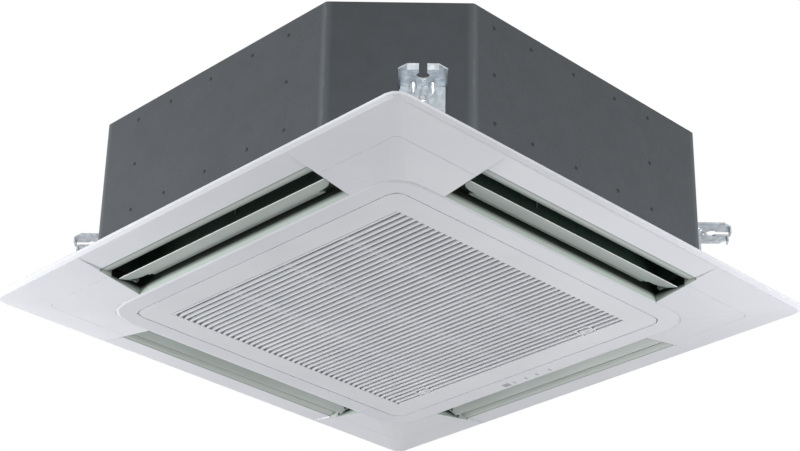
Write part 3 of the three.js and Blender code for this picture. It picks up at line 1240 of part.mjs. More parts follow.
/** Liquid pipe beside it, which turns twice. */
function makeLiquidPipe() {
  const y = COIL_SIDE / 2 - COIL_THICK / 2;
  const z = LIQUID_PIPE_HEIGHT;
  const end = pipePoint(LIQUID_PIPE_ALONG, FACE_OUT + PIPE_STUB, z);
  const start = [-COIL_END - 2 * GAP - END_PLATE_THICK, y, z];
  const turns = [[LIQUID_PIPE_X, y, z], [LIQUID_PIPE_X, end[0] + end[1] - LIQUID_PIPE_X, z]];
  return tube(bentPath([start, ...turns, end], 12), LIQUID_PIPE_R, PIPE_WALL, 16);
}

/** Flare nut on the end of a pipe. */
function makePipeNut(pipeR, nutR, along, z) {
  const shape = new THREE.Shape();
  for (let k = 0; k < 6; k++) {
    const a = k * Math.PI / 3;
    shape[k ? 'lineTo' : 'moveTo'](nutR * Math.cos(a), nutR * Math.sin(a));
  }
  const hole = new THREE.Path();
  hole.absarc(0, 0, pipeR + GAP, 0, 2 * Math.PI, true);
  shape.holes.push(hole);
  const settings = { depth: NUT_LENGTH, bevelEnabled: false, curveSegments: 8 };
  const nut = new THREE.ExtrudeGeometry(shape, settings).rotateX(Math.PI / 2);
  nut.translate(along, FACE_OUT + PIPE_STUB + NUT_OVERHANG, z);
  return atCorner(nut, PIPE_CORNER);
}

// ---- Drain pump and outlet ------------------------------------------------------------
/** Pump: motor can, suction neck that is open below and a side outlet. */
function makePump() {
  const [bore, neck] = [PUMP_NECK_R - PUMP_WALL, PUMP_NECK_R];
  const shaftBore = STEM_R + GAP;
  const body = turned([
    [shaftBore, PUMP_NECK_TOP - 4], [shaftBore, PUMP_NECK_TOP + 12], [0, PUMP_NECK_TOP + 12],
    [0, PUMP_TOP], [PUMP_R - 6, PUMP_TOP], [PUMP_R, PUMP_TOP - 6], [PUMP_R, PUMP_NECK_TOP + 3],
    [PUMP_R + 4, PUMP_NECK_TOP + 3], [PUMP_R + 4, PUMP_NECK_TOP], [neck, PUMP_NECK_TOP],
    [neck, PUMP_FOOT], [bore, PUMP_FOOT], [bore, PUMP_NECK_TOP - 4],
  ], 20);
  const [r, reach, z] = PUMP_OUTLET;
  const spout = (radius, from, to) => solid(new THREE.CylinderGeometry(radius, radius, to - from, 12)
    .rotateZ(Math.PI / 2).translate(-(from + to) / 2, 0, z));
  const [px, py] = PUMP_CENTRE;
  const wall = (LINER_FACE_OUT - GAP) - Math.hypot(px, py);
  const arm = new THREE.BoxGeometry(PUMP_ARM[0], wall - PUMP_R + 4, PUMP_ARM[1])
    .translate(0, (wall + PUMP_R - 4) / 2, PUMP_NECK_TOP + PUMP_ARM[1] / 2);
  return unite(body, atCorner(arm, PIPE_CORNER), spout(r, bore + 1, reach))
    .subtract(spout(r - 2, bore - 1, reach + CUT));
}

/** Impeller of the pump: four flat vanes on a thin shaft. */
function makeImpeller() {
  const z = PUMP_FOOT + 3;
  const vane = (w, d) => box(-w, w, -d, d, z, z + IMPELLER_HEIGHT);
  return unite(post(STEM_R, z, PUMP_NECK_TOP + 10, 0, 0, 12), vane(IMPELLER_R, 0.8),
    vane(0.8, IMPELLER_R));
}

/** Drain outlet through the cabinet's left wall, with the flange that screws to it. */
function makeDrainOutlet() {
  const run = (from, to) => new THREE.LineCurve3(new THREE.Vector3(from, DRAIN_Y, DRAIN_HEIGHT),
    new THREE.Vector3(to, DRAIN_Y, DRAIN_HEIGHT));
  const face = -CABINET_SIDE / 2 - GAP;
  const flange = tube(run(face, face - DRAIN_FLANGE[1]), DRAIN_FLANGE[0],
    DRAIN_FLANGE[0] - DRAIN_R + 1, 1);
  return flange.add(tube(run(DRAIN_INNER_X, -CABINET_SIDE / 2 - DRAIN_STUB), DRAIN_R, DRAIN_WALL, 1));
}

/** Hose from the pump's spout up to the outlet. */
function makeDrainHose() {
  const [px, py] = PUMP_CENTRE;
  const [, reach, z] = PUMP_OUTLET;
  const start = [px - reach - GAP, py, z];
  const end = [DRAIN_INNER_X + GAP, DRAIN_Y, DRAIN_HEIGHT];
  const x = (start[0] + end[0]) / 2;
  const path = bentPath([start, [x, py, z], [x, DRAIN_Y, DRAIN_HEIGHT], end], 12);
  return tube(path, HOSE_R, 2, 16);
}

// ---- Control box ----------------------------------------------------------------------
const controlY = -PAN_HOLE_SIDE / 2 + 5 + CONTROL_BOX[1] / 2;
const controlTop = BELL_PLATE_TOP - BELL_PLATE_THICK - GAP;

/** Block in the control box: x range, y range and heights above its lower face. */
function inControlBox(x0, x1, y0, y1, z0, z1) {
  const z = controlTop - CONTROL_BOX[2];
  return box(x0, x1, controlY + y0, controlY + y1, z + z0, z + z1);
}

/** Sheet box under the bell mouth's plate, open below. */
function makeControlBox() {
  const [w, d, h] = [CONTROL_BOX[0] / 2, CONTROL_BOX[1] / 2, CONTROL_BOX[2]];
  const t = CONTROL_SHEET;
  return inControlBox(-w, w, -d, d, t + GAP, h)
    .subtract(inControlBox(-w + t, w - t, -d + t, d - t, -CUT, h - t));
}

/** Cover that closes the box from below. */
function makeControlCover() {
  const [w, d] = [CONTROL_BOX[0] / 2, CONTROL_BOX[1] / 2];
  const t = CONTROL_SHEET;
  const lip = inControlBox(-w + t + GAP, w - t - GAP, -d + t + GAP, d - t - GAP, 0, 4)
    .subtract(inControlBox(-w + 2 * t + GAP, w - 2 * t - GAP, -d + 2 * t + GAP, d - 2 * t - GAP,
      -CUT, 4 + CUT));
  return inControlBox(-w, w, -d, d, 0, t).add(lip);
}

/** Control circuit board with its tallest components. */
function makeCircuitBoard() {
  const [w, d, h] = CONTROL_BOARD;
  const [inset, edge, r] = BOARD_POST;
  const lid = CONTROL_BOX[2] - CONTROL_SHEET;
  const top = lid - 2;
  const under = top - h + 0.5;
  const posts = [[-1, -1], [-1, 1], [1, -1], [1, 1]].map(([i, j]) => {
    const [x, y] = [i * (w / 2 - inset), j * (d / 2 - edge)];
    return inControlBox(x - r, x + r, y - r, y + r, top - 0.5, lid - GAP);
  });
  const parts = BOARD_PARTS.map(([x0, x1, y0, y1, height]) =>
    inControlBox(x0, x1, y0, y1, under - height, under));
  return unite(...posts, ...parts, inControlBox(-w / 2, w / 2, -d / 2, d / 2, top - h, top));
}

// ---- Assembly -------------------------------------------------------------------------
unit.name = 'ceiling_cassette';
addPiece('panel_frame', makePanel(), PANEL_WHITE);
makeCornerCovers();
addPiece('panel_seal', makeSeal(), FOAM_BLACK);
addLouvres();
addPiece('intake_grille', makeGrille(), GRILLE_WHITE);
addPiece('air_filter', makeFilter(), FILTER_GREY);
addLatches();
addPiece('receiver_window', makeReceiverWindow(), SMOKED);
addPiece('light_guide', makeLightGuide(), SMOKED);
addPiece('cabinet_shell', makeCabinetShell(), CABINET_GREY);
addPiece('top_plate', makeTopPlate(), CABINET_GREY);
addPiece('insulation_liner', makeLiner(), FOAM_BLACK);
addBrackets();
addPiece('drain_pan', makeDrainPan(), FOAM_WHITE);
addPiece('bell_mouth', makeBellMouth(), BLACK_PLASTIC);
addPiece('turbo_fan', makeFan(), FAN_GREY);
addPiece('fan_shaft', makeShaft(), ZINC);
addPiece('fan_nut', makeFanNut(), ZINC);
addPiece('fan_motor', makeMotor(), BLACK_PLASTIC);
addPiece('motor_mount', makeMotorMount(), ZINC);
addPiece('coil_fins', makeCoil(), FIN_ALUMINIUM);
addPiece('coil_end_back', makeEndPlate((shape) => shape.scale(-1, 1, 1)), COPPER);
addPiece('coil_end_left', makeEndPlate((shape) => shape.rotateZ(Math.PI / 2)), COPPER);
addPiece('gas_pipe', makeGasPipe(), COPPER);
addPiece('gas_nut', makePipeNut(GAS_PIPE_R, GAS_NUT_R, GAS_PIPE_ALONG, GAS_PIPE_HEIGHT), BRASS);
addPiece('liquid_pipe', makeLiquidPipe(), COPPER);
addPiece('liquid_nut',
  makePipeNut(LIQUID_PIPE_R, LIQUID_NUT_R, LIQUID_PIPE_ALONG, LIQUID_PIPE_HEIGHT), BRASS);
const pumpPlace = new THREE.Group();
pumpPlace.position.set(...PUMP_CENTRE, 0);
unit.add(pumpPlace);
addPiece('drain_pump', makePump(), BLACK_PLASTIC, pumpPlace);
addPiece('pump_impeller', makeImpeller(), FAN_GREY, pumpPlace);
addPiece('drain_hose', makeDrainHose(), FOAM_BLACK);
addPiece('drain_outlet', makeDrainOutlet(), BLACK_PLASTIC);
addPiece('control_box', makeControlBox(), ZINC);
addPiece('control_cover', makeControlCover(), ZINC);
addPiece('circuit_board', makeCircuitBoard(), CIRCUIT_GREEN);

export default unit;
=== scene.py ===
"""Looks of a four-way ceiling cassette air conditioner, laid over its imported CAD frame."""
import math

import bpy
import numpy as np
from bpy.props import FloatProperty, FloatVectorProperty, IntProperty, PointerProperty
from mathutils import Matrix, Vector


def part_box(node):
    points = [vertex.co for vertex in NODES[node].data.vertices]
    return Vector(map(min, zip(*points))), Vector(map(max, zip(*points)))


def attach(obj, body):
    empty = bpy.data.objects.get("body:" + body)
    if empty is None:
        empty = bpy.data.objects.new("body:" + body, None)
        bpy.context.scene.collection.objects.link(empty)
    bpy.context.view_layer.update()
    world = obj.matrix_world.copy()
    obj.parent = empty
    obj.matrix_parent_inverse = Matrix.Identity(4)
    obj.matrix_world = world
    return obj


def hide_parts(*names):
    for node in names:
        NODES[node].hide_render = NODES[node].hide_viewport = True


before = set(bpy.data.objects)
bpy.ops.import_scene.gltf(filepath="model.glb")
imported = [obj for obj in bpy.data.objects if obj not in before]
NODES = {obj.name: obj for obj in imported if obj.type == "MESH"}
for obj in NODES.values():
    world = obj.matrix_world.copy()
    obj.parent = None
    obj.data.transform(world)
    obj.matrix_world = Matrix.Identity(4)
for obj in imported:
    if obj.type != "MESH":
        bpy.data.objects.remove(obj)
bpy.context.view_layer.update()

bl_info = {
    "name": "Ceiling Cassette",
    "version": (1, 0, 0),
    "blender": (4, 5, 0),
    "location": "3D View > Sidebar > Cassette",
    "description": "Finishes, small fittings and studio for a four-way ceiling cassette",
    "category": "Object",
}

MM = 0.001
FACE_OUT = 486.16        # outer face of a hanger bracket's leg, from the centre, in mm
PLATE_UNDER = 144.5      # underside of its bearing plate
BRACKET_SHIFT = 35.36    # how far each bracket stands from its corner's middle
DUCT_INNER = 346         # inner wall of the ducts
WALL_OUT = 420           # the cabinet's walls
BEND_ALONG = 264         # its upright bends, from the middle of each side
OUTLET_HALF = 245        # just past the ends of the outlets
OUTLET_NEAR, OUTLET_FAR = 342.7, 424.6   # just past their inner wall and outer strip
LIP_NEAR, SEAM_NEAR = 401.6, 421.6       # where the rolled lip and its seam begin
EDGE_NEAR = 388.4        # where a louvre's outer edge begins
RIVET_OUT = 505          # locating rivet under a bearing plate
UP = np.array([0.0, 0.0, 1.0])
CORNERS = ("back_right", "back_left", "front_left", "front_right")
SIDES = ("right", "back", "left", "front")


# ---- Colour, nodes and materials ------------------------------------------------------

def linear(hex_colour):
    """An sRGB colour such as #D8DADE as the linear RGBA that a socket takes."""
    values = np.array([int(hex_colour[i:i + 2], 16) for i in (1, 3, 5)]) / 255
    curve = np.where(values <= 0.04045, values / 12.92, ((values + 0.055) / 1.055) ** 2.4)
    return (*curve.tolist(), 1.0)


def per_metre(size_mm):
    """Texture scale that gives a pattern of this real size."""
    return 1000 / size_mm


def add_node(tree, kind, settings=None, **inputs):
    """Adds one node. settings are its properties; an input takes a value or another node's output.
    An input is named by its socket with underscores for spaces, or by s and its number."""
    node = tree.nodes.new(kind)
    for name, value in (settings or {}).items():
        setattr(node, name, value)
    for name, value in inputs.items():
        key = int(name[1:]) if name[0] == "s" and name[1:].isdigit() else name.replace("_", " ")
        if isinstance(value, bpy.types.NodeSocket):
            tree.links.new(value, node.inputs[key])
        else:
            node.inputs[key].default_value = value
    return node


def new_material(name):
    """An empty node material with its output, and Object coordinates."""
    material = bpy.data.materials.new(name)
    material.use_nodes = True
    tree = material.node_tree
    tree.nodes.clear()
    output = tree.nodes.new("ShaderNodeOutputMaterial")
    place = tree.nodes.new("ShaderNodeTexCoord").outputs["Object"]
    return material, tree, output, place


def close_material(material, tree, output, base, rough, **inputs):
    """Links a shader of this colour and roughness, with any further inputs, to the output."""
    shader = add_node(tree, "ShaderNodeBsdfPrincipled", Base_Color=base, Roughness=rough,
                      **inputs)
    tree.links.new(shader.outputs["BSDF"], output.inputs["Surface"])
    return material


def blend_colours(tree, factor, first, second):
    """The colour between two at that factor. Each is a hex colour or another node's output."""
    first, second = (linear(c) if isinstance(c, str) else c for c in (first, second))
    mix = add_node(tree, "ShaderNodeMix", {"data_type": "RGBA"}, s0=factor, s6=first, s7=second)
    return mix.outputs[2]


def calculate(tree, operation, first, second=0.0):
    """The result of one Math node."""
    return add_node(tree, "ShaderNodeMath", {"operation": operation}, s0=first,
                    s1=second).outputs[0]


def noise(tree, place, size_mm, detail, **inputs):
    """Noise whose features are about this size."""
    return add_node(tree, "ShaderNodeTexNoise", Vector=place, Scale=per_metre(size_mm),
                    Detail=detail, **inputs)


def relief(tree, height, strength, depth_mm, **inputs):
    """The normal of a surface that rises where height grows, by this depth at most."""
    return add_node(tree, "ShaderNodeBump", Height=height, Strength=strength,
                    Distance=depth_mm * MM, **inputs).outputs[0]


def square_distances(tree, place):
    """How far a point lies from the unit's middle, along its side and out to it, and its height:
    the smaller and the larger of |x| and |y|, and z. All in metres."""
    axes = add_node(tree, "ShaderNodeSeparateXYZ", Vector=place)
    across = calculate(tree, "ABSOLUTE", axes.outputs[0])
    deep = calculate(tree, "ABSOLUTE", axes.outputs[1])
    along = calculate(tree, "MINIMUM", across, deep)
    out = calculate(tree, "MAXIMUM", across, deep)
    return along, out, axes.outputs[2]


def between(tree, value, low, high, start=0.35, end=0.65):
    """value spread from low to high over the part of its range where noise mostly lies."""
    spread = add_node(tree, "ShaderNodeMapRange", Value=value, From_Min=start, From_Max=end,
                      To_Min=low, To_Max=high)
    return spread.outputs["Result"]


def moulded_plastic(name, colour, shade, grain_mm, matt, depth_mm=0.02, edge_mm=0.0,
                    overlay=None):
    """Injection-moulded plastic: a spark-eroded grain in its gloss and bump, and a slow drift of
    tone from the flow in the mould. matt is its roughness, low to high; edge_mm softens edges;
    overlay takes the tree, the Object place and the base colour, and returns what lies over it."""
    material, tree, output, place = new_material(name)
    flow = noise(tree, place, 160, 2.0)
    grain = noise(tree, place, grain_mm, 3.0)
    base = blend_colours(tree, between(tree, flow.outputs[0], 0.0, 1.0), colour, shade)
    if overlay:
        base = overlay(tree, place, base)
    rough = between(tree, grain.outputs[0], *matt)
    soft = {}
    if edge_mm:
        edge = add_node(tree, "ShaderNodeBevel", {"samples": 4}, Radius=edge_mm * MM)
        soft["Normal"] = edge.outputs[0]
    bump = relief(tree, grain.outputs[0], 0.35, depth_mm, **soft)
    return close_material(material, tree, output, base, rough, Normal=bump, IOR=1.5)


def outlet_tones_and_shade(tree, place, base):
    """Paints the panel's walls in the four outlets: pale green-grey up to 7 mm, then painted shade
    that darkens them to near black above 15 mm, deep in the duct; and the rolled outer lip pale
    with a fine grey line of painted shade in its seam."""
    along, out, height = square_distances(tree, place)
    reach = calculate(tree, "LESS_THAN", along, OUTLET_HALF * MM)
    outside = calculate(tree, "LESS_THAN", out, OUTLET_FAR * MM)
    inside = calculate(tree, "GREATER_THAN", out, OUTLET_NEAR * MM)
    vent = calculate(tree, "MULTIPLY", reach, calculate(tree, "MULTIPLY", outside, inside))
    lip = calculate(tree, "GREATER_THAN", out, LIP_NEAR * MM)
    seam = calculate(tree, "GREATER_THAN", out, SEAM_NEAR * MM)
    # Painted shade: the walls darken with height, from 7 mm to near black at 15 mm into the duct.
    deep = between(tree, height, 0.0, 1.0, start=7 * MM, end=15 * MM)
    wall = blend_colours(tree, deep, "#B9C4BE", "#0C1610")
    # Painted shade: a darker grey line in the lip's seam.
    strip = blend_colours(tree, seam, "#B7C0BB", "#8E9693")
    walls = blend_colours(tree, lip, wall, strip)
    return blend_colours(tree, vent, base, walls)


def lit_outer_edge(tree, place, base):
    """Lightens a louvre's outer edge: a painted highlight."""
    out = square_distances(tree, place)[1]
    edge = calculate(tree, "GREATER_THAN", out, EDGE_NEAR * MM)
    # Painted highlight along the outer edge.
    return blend_colours(tree, edge, base, "#E8ECE9")


def coated_sheet(name, colour, shade, bend, peel_mm=2.6, matt=(0.5, 0.62)):
    """Stove-coated sheet steel: orange peel of the coating, fine mottling, and pale lines where
    the sheet is bent, partly wear and partly a painted highlight."""
    material, tree, output, place = new_material(name)
    peel = noise(tree, place, peel_mm, 2.0)
    mottle = noise(tree, place, 45, 6.0, Roughness=0.65)
    base = blend_colours(tree, between(tree, mottle.outputs[0], 0.0, 1.0), colour, shade)
    along, out = square_distances(tree, place)[:2]
    aside = calculate(tree, "SUBTRACT", along, BEND_ALONG * MM)
    inward = calculate(tree, "SUBTRACT", out, WALL_OUT * MM)
    square = calculate(tree, "ADD", calculate(tree, "MULTIPLY", aside, aside),
                       calculate(tree, "MULTIPLY", inward, inward))
    away = calculate(tree, "SQRT", square)
    # Painted highlight along each upright bend: a soft pale band out to 11 mm, with a mottled,
    # worn-looking pale line within 3 mm.
    soft = between(tree, away, 0.45, 0.0, start=1 * MM, end=11 * MM)
    wear_and_highlight = calculate(tree, "MULTIPLY", between(tree, away, 0.8, 0.0, start=1 * MM, end=3 * MM),
                       between(tree, mottle.outputs[0], 0.0, 1.0))
    base = blend_colours(tree, calculate(tree, "MAXIMUM", soft, wear_and_highlight), base, bend)
    rough = between(tree, peel.outputs[0], *matt)
    bump = relief(tree, peel.outputs[0], 0.3, 0.06)
    return close_material(material, tree, output, base, rough, Normal=bump, IOR=1.5)


def zinc_sheet(name, colour, shade, spangle_mm, matt=(0.32, 0.5)):
    """Hot-dip galvanised steel: crystals of zinc, each with its own tone and gloss."""
    material, tree, output, place = new_material(name)
    bend = noise(tree, place, spangle_mm * 0.6, 1.0)
    shift = add_node(tree, "ShaderNodeVectorMath", {"operation": "SCALE"},
                     s0=bend.outputs["Color"], Scale=spangle_mm * 0.5 * MM)
    warped = add_node(tree, "ShaderNodeVectorMath", s0=place, s1=shift.outputs[0])
    spangle = add_node(tree, "ShaderNodeTexVoronoi", Vector=warped.outputs[0],
                       Scale=per_metre(spangle_mm))
    tone = add_node(tree, "ShaderNodeSeparateXYZ", Vector=spangle.outputs["Color"])
    base = blend_colours(tree, tone.outputs[0], colour, shade)
    rough = between(tree, tone.outputs[1], *matt, start=0.0, end=1.0)
    bump = relief(tree, bend.outputs[0], 0.2, 0.03)
    return close_material(material, tree, output, base, rough, Metallic=1.0, Normal=bump)


def bead_foam(name, colour, seam, bead_mm):
    """Foam moulded from steam-fused beads: soft domes with darker seams where they meet."""
    material, tree, output, place = new_material(name)
    beads = add_node(tree, "ShaderNodeTexVoronoi", {"feature": "DISTANCE_TO_EDGE"},
                     Vector=place, Scale=per_metre(bead_mm))
    dome = between(tree, beads.outputs["Distance"], 0.0, 1.0, start=0.0, end=0.22)
    base = blend_colours(tree, dome, seam, colour)
    bump = relief(tree, dome, 0.5, 0.15)
    rough = between(tree, dome, 0.9, 0.7, start=0.0, end=1.0)
    return close_material(material, tree, output, base, rough, Normal=bump)


def drawn_metal(name, colour, tarnish, streak_mm, matt):
    """Drawn, spun or turned metal: fine tool lines in its gloss, and tarnish in its tone."""
    material, tree, output, place = new_material(name)
    stain = noise(tree, place, 18, 3.0)
    squeeze = add_node(tree, "ShaderNodeMapping", Vector=place, Scale=(0.15, 0.15, 1.0))
    lines = noise(tree, squeeze.outputs[0], streak_mm, 2.0)
    base = blend_colours(tree, between(tree, stain.outputs[0], 0.0, 1.0), colour, tarnish)
    rough = between(tree, lines.outputs[0], *matt)
    bump = relief(tree, lines.outputs[0], 0.2, 0.02)
    return close_material(material, tree, output, base, rough, Metallic=1.0, Normal=bump)


def fin_pack(name, colour, painted_gap_shade, pitch_mm):
    """Hydrophilic-coated aluminium fins on edge: bright edges with dark gaps of painted shade,
    stacked along each face. Real fins stand 1.4 mm apart; they are drawn 2.8 mm apart, so that they
    show."""
    material, tree, output, place = new_material(name)
    axes = add_node(tree, "ShaderNodeSeparateXYZ", Vector=place)
    facing = add_node(tree, "ShaderNodeNewGeometry")
    turned = add_node(tree, "ShaderNodeSeparateXYZ", Vector=facing.outputs["Normal"])
    side = calculate(tree, "GREATER_THAN", calculate(tree, "ABSOLUTE", turned.outputs[0]), 0.7)
    along = add_node(tree, "ShaderNodeMix", s0=side, s2=axes.outputs[0], s3=axes.outputs[1])
    phase = calculate(tree, "MULTIPLY", along.outputs[0], 2 * math.pi * per_metre(pitch_mm))
    fin = between(tree, calculate(tree, "SINE", phase), 0.0, 1.0, start=-0.2, end=0.6)
    # Painted shade: the gaps between the fins in a dark colour.
    base = blend_colours(tree, fin, painted_gap_shade, colour)
    bump = relief(tree, fin, 0.8, 0.6)
    rough = between(tree, fin, 0.7, 0.35, start=0.0, end=1.0)
    return close_material(material, tree, output, base, rough, Metallic=0.6, Normal=bump)


def board_laminate(name, mask, track, track_mm):
    """Glass-epoxy circuit board: solder mask over copper tracks, which show as lighter runs."""
    material, tree, output, place = new_material(name)
    tracks = add_node(tree, "ShaderNodeTexBrick", {"offset": 0.37}, Vector=place,
                      Scale=per_metre(track_mm), Mortar_Size=0.06, Mortar_Smooth=0.4)
    base = blend_colours(tree, tracks.outputs["Fac"], mask, track)
    bump = relief(tree, tracks.outputs["Fac"], 0.4, 0.05)
    rough = between(tree, tracks.outputs["Fac"], 0.25, 0.38, start=0.0, end=1.0)
    return close_material(material, tree, output, base, rough, Normal=bump)


def tinted_window(name, colour, shade):
    """Tinted or frosted clear plastic: glossy, with faint polishing haze."""
    material, tree, output, place = new_material(name)
    haze = noise(tree, place, 4, 4.0)
    base = blend_colours(tree, between(tree, haze.outputs[0], 0.0, 1.0), colour, shade)
    rough = between(tree, haze.outputs[0], 0.12, 0.24)
    return close_material(material, tree, output, base, rough, IOR=1.49, Coat_Weight=0.4)


# ---- Surfaces -------------------------------------------------------------------------

def tube_faces(rows, columns, loop=False):
    """Quads between neighbouring rings of points, ring by ring. An open tube gets closed ends."""
    grid = np.arange(rows * columns).reshape(rows, columns)
    first = grid if loop else grid[:-1]
    second = np.roll(grid, -1, 0) if loop else grid[1:]
    quads = np.stack([first, np.roll(first, -1, 1), np.roll(second, -1, 1), second], -1)
    ends = [] if loop else [grid[0][::-1].tolist(), grid[-1].tolist()]
    return quads.reshape(-1, 4).tolist() + ends


def sweep(profile, origins, across, upward, loop=False):
    """Profile carried along a path. Point (i, j) is origin i plus profile x of point j times
    across i, plus profile y times upward i. Returns vertices, and faces with closed ends."""
    profile = np.asarray(profile, float)
    origins, across, upward = (np.asarray(a, float) for a in (origins, across, upward))
    points = (origins[:, None] + profile[None, :, :1] * across[:, None]
              + profile[None, :, 1:] * upward[:, None])
    return points.reshape(-1, 3), tube_faces(len(origins), len(profile), loop)


def turned_head(radii, heights, sides, place, outward, corners=0):
    """Surface of revolution about outward through place. Point (i, j) lies at radius i and height
    i, at angle j; with corners, the radius is divided by the cosine of the angle to the nearest
    flat, which makes a hexagon. Both ends are closed."""
    outward = np.asarray(outward, float)
    helper = UP if abs(outward[2]) < 0.9 else np.array([1.0, 0.0, 0.0])
    u = np.cross(helper, outward)
    u /= np.linalg.norm(u)
    v = np.cross(outward, u)
    angle = np.linspace(0, 2 * np.pi, sides, endpoint=False)
    bulge = np.ones(sides)
    if corners:
        flat = np.mod(angle, 2 * np.pi / corners) - np.pi / corners
        bulge = 1 / np.cos(flat)
    ring = np.cos(angle)[:, None] * u + np.sin(angle)[:, None] * v
    points = (np.asarray(place, float) + np.asarray(heights)[:, None, None] * outward
              + np.asarray(radii)[:, None, None] * bulge[None, :, None] * ring[None])
    return points.reshape(-1, 3), tube_faces(len(radii), sides)


def oval(half_width, half_height, sides, power=2.0):
    """Closed profile: a superellipse, whose corners square up as power grows."""
    angle = np.linspace(0, 2 * np.pi, sides, endpoint=False)
    cos, sin = np.cos(angle), np.sin(angle)
    x = half_width * np.sign(cos) * np.abs(cos) ** (2 / power)
    y = half_height * np.sign(sin) * np.abs(sin) ** (2 / power)
    return np.stack([x, y], -1)


def joined(shapes):
    """Several (vertices, faces) as one, in order."""
    vertices, faces, start = [], [], 0
    for points, polygons in shapes:
        vertices.append(points)
        faces += [[index + start for index in polygon] for polygon in polygons]
        start += len(points)
    return np.concatenate(vertices), faces


def add_piece(name, shape, material, body, smooth=35):
    """One finished object at the origin, its place in its mesh (given in mm), riding on a body."""
    vertices, faces = shape
    mesh = bpy.data.meshes.new(name)
    mesh.from_pydata((vertices * MM).tolist(), [], faces)
    mesh.validate()
    mesh.materials.append(material)
    mesh.polygons.foreach_set("use_smooth", [True] * len(mesh.polygons))
    mesh.set_sharp_from_angle(angle=math.radians(smooth))
    mesh.update()
    piece = bpy.data.objects.new(name, mesh)
    bpy.context.scene.collection.objects.link(piece)
    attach(piece, body)
    return piece


def paint(material, *names):
    """Gives these CAD nodes one material."""
    for name in names:
        if name not in NODES:
            raise RuntimeError(f"the frame has no node {name}")
        materials = NODES[name].data.materials
        materials.clear()
        materials.append(material)


def corner_axes(name):
    """Outward and sideways directions of a cut-off corner, and the bracket's sideways offset."""
    turn = {"back_right": 1, "back_left": 3, "front_left": 5, "front_right": 7}[name]
    angle = math.radians(45 * turn)
    outward = np.array([math.cos(angle), math.sin(angle), 0.0])
    sideways = np.array([math.sin(angle), -math.cos(angle), 0.0])
    offset = BRACKET_SHIFT if turn in (1, 5) else -BRACKET_SHIFT
    return outward, sideways, offset


def side_axes(name):
    """Outward direction of a side and the direction that runs along it."""
    angle = math.radians(90 * SIDES.index(name))
    outward = np.array([math.cos(angle), math.sin(angle), 0.0])
    return outward, np.array([-outward[1], outward[0], 0.0])


# ---- Settings -------------------------------------------------------------------------

class CassetteSizes(bpy.types.PropertyGroup):
    """Sizes of the small fittings, in millimetres."""
    thread_gaps: IntProperty(
        name="Net gaps", description="Gaps along each side of the filter's woven net",
        default=96, min=24, max=110)
    thread_radius: FloatProperty(
        name="Thread radius", description="Half the thickness of one thread of the net, in mm",
        default=0.36, min=0.1, max=1.0)
    pin_radius: FloatProperty(
        name="Liner pin radius", description="Radius of the pins that hold the liner, in mm",
        default=3.4, min=1.0, max=6.0)
    screw_radius: FloatProperty(
        name="Screw radius", description="Radius of a bracket screw's head, in mm",
        default=4.6, min=2.0, max=8.0)
    rib_width: FloatProperty(
        name="Duct rib width", description="Width of the rib on each duct's wall, in mm",
        default=3.2, min=1.0, max=6.0)
    dart_width: FloatProperty(
        name="Dart width", description="Width of a hanger bracket's pressed dart, in mm",
        default=12.0, min=6.0, max=20.0)
    grip_ridges: IntProperty(
        name="Grip ridges", description="Ridges on each sliding latch", default=4, min=2, max=6)


class CassetteStudio(bpy.types.PropertyGroup):
    """Camera, floor and lamps."""
    azimuth: FloatProperty(
        name="Azimuth", description="Camera's turn round the unit", subtype="ANGLE",
        default=math.radians(45.59))
    elevation: FloatProperty(
        name="Elevation", description="Camera's height angle; below zero looks up",
        subtype="ANGLE", default=math.radians(-27.63))
    roll: FloatProperty(
        name="Roll", description="Camera's turn round its own line of sight", subtype="ANGLE",
        default=math.radians(1.09))
    stand: FloatVectorProperty(
        name="Camera place", description="Where the camera stands", subtype="TRANSLATION",
        unit="LENGTH", default=(2.14434, -2.09926, -1.40077))
    lens: FloatProperty(
        name="Lens", description="Focal length on a 36 mm sensor, in mm", default=90.89)
    floor_drop: FloatProperty(
        name="Floor", description="Floor below the panel's lowest face", unit="LENGTH",
        default=2.45)
    ambient: FloatProperty(
        name="Ambient", description="Strength of the even white light", default=0.15, min=0.0)
    overhead: FloatProperty(
        name="Overhead", description="Strength of the light that falls straight down",
        default=2.6, min=0.0)
    left_lamp: FloatProperty(
        name="Left lamp", description="Power of the far lamp on the left", unit="POWER",
        default=70.0)
    corner_lamp: FloatProperty(
        name="Corner lamp", description="Power of the lamp before the left corner",
        unit="POWER", default=10.0)
    right_lamp: FloatProperty(
        name="Right lamp", description="Power of the lamp beside the right side", unit="POWER",
        default=12.0)
    low_lamp: FloatProperty(
        name="Low lamp", description="Power of the lamp under the far corner", unit="POWER",
        default=10.0)
    near_lamp: FloatProperty(
        name="Near lamp", description="Power of the lamp before the near corner", unit="POWER",
        default=6.4)


# ---- Operators: finishes --------------------------------------------------------------

class FinishPanel(bpy.types.Operator):
    """Paints the panel, its corner covers, the intake grille and its latches"""
    bl_idname = "cassette.finish_panel"
    bl_label = "Panel finish"

    def execute(self, context):
        # Injection-moulded ABS with a fine spark-eroded grain: a calm, cool satin white,
        # with painted shade laid over it in the outlets.
        panel = moulded_plastic("abs_panel_white", "#E3E5EB", "#DEE0E7", 1.4, (0.34, 0.44),
                                edge_mm=0.9, overlay=outlet_tones_and_shade)
        # The same ABS in the grille's own tool, a shade brighter, so that the slats stand out.
        grille = moulded_plastic("abs_grille_white", "#E6E8EC", "#E0E2E7", 1.2, (0.38, 0.48))
        # Latches polished where fingers slide them, so a little glossier.
        latch = moulded_plastic("abs_latch_white", "#E4E6EA", "#DCDEE3", 1.0, (0.25, 0.36),
                                edge_mm=0.5)
        paint(panel, "panel_frame", *[f"corner_cover_{c}" for c in CORNERS])
        paint(grille, "intake_grille")
        paint(latch, "grille_latch_left", "grille_latch_right")
        return {"FINISHED"}


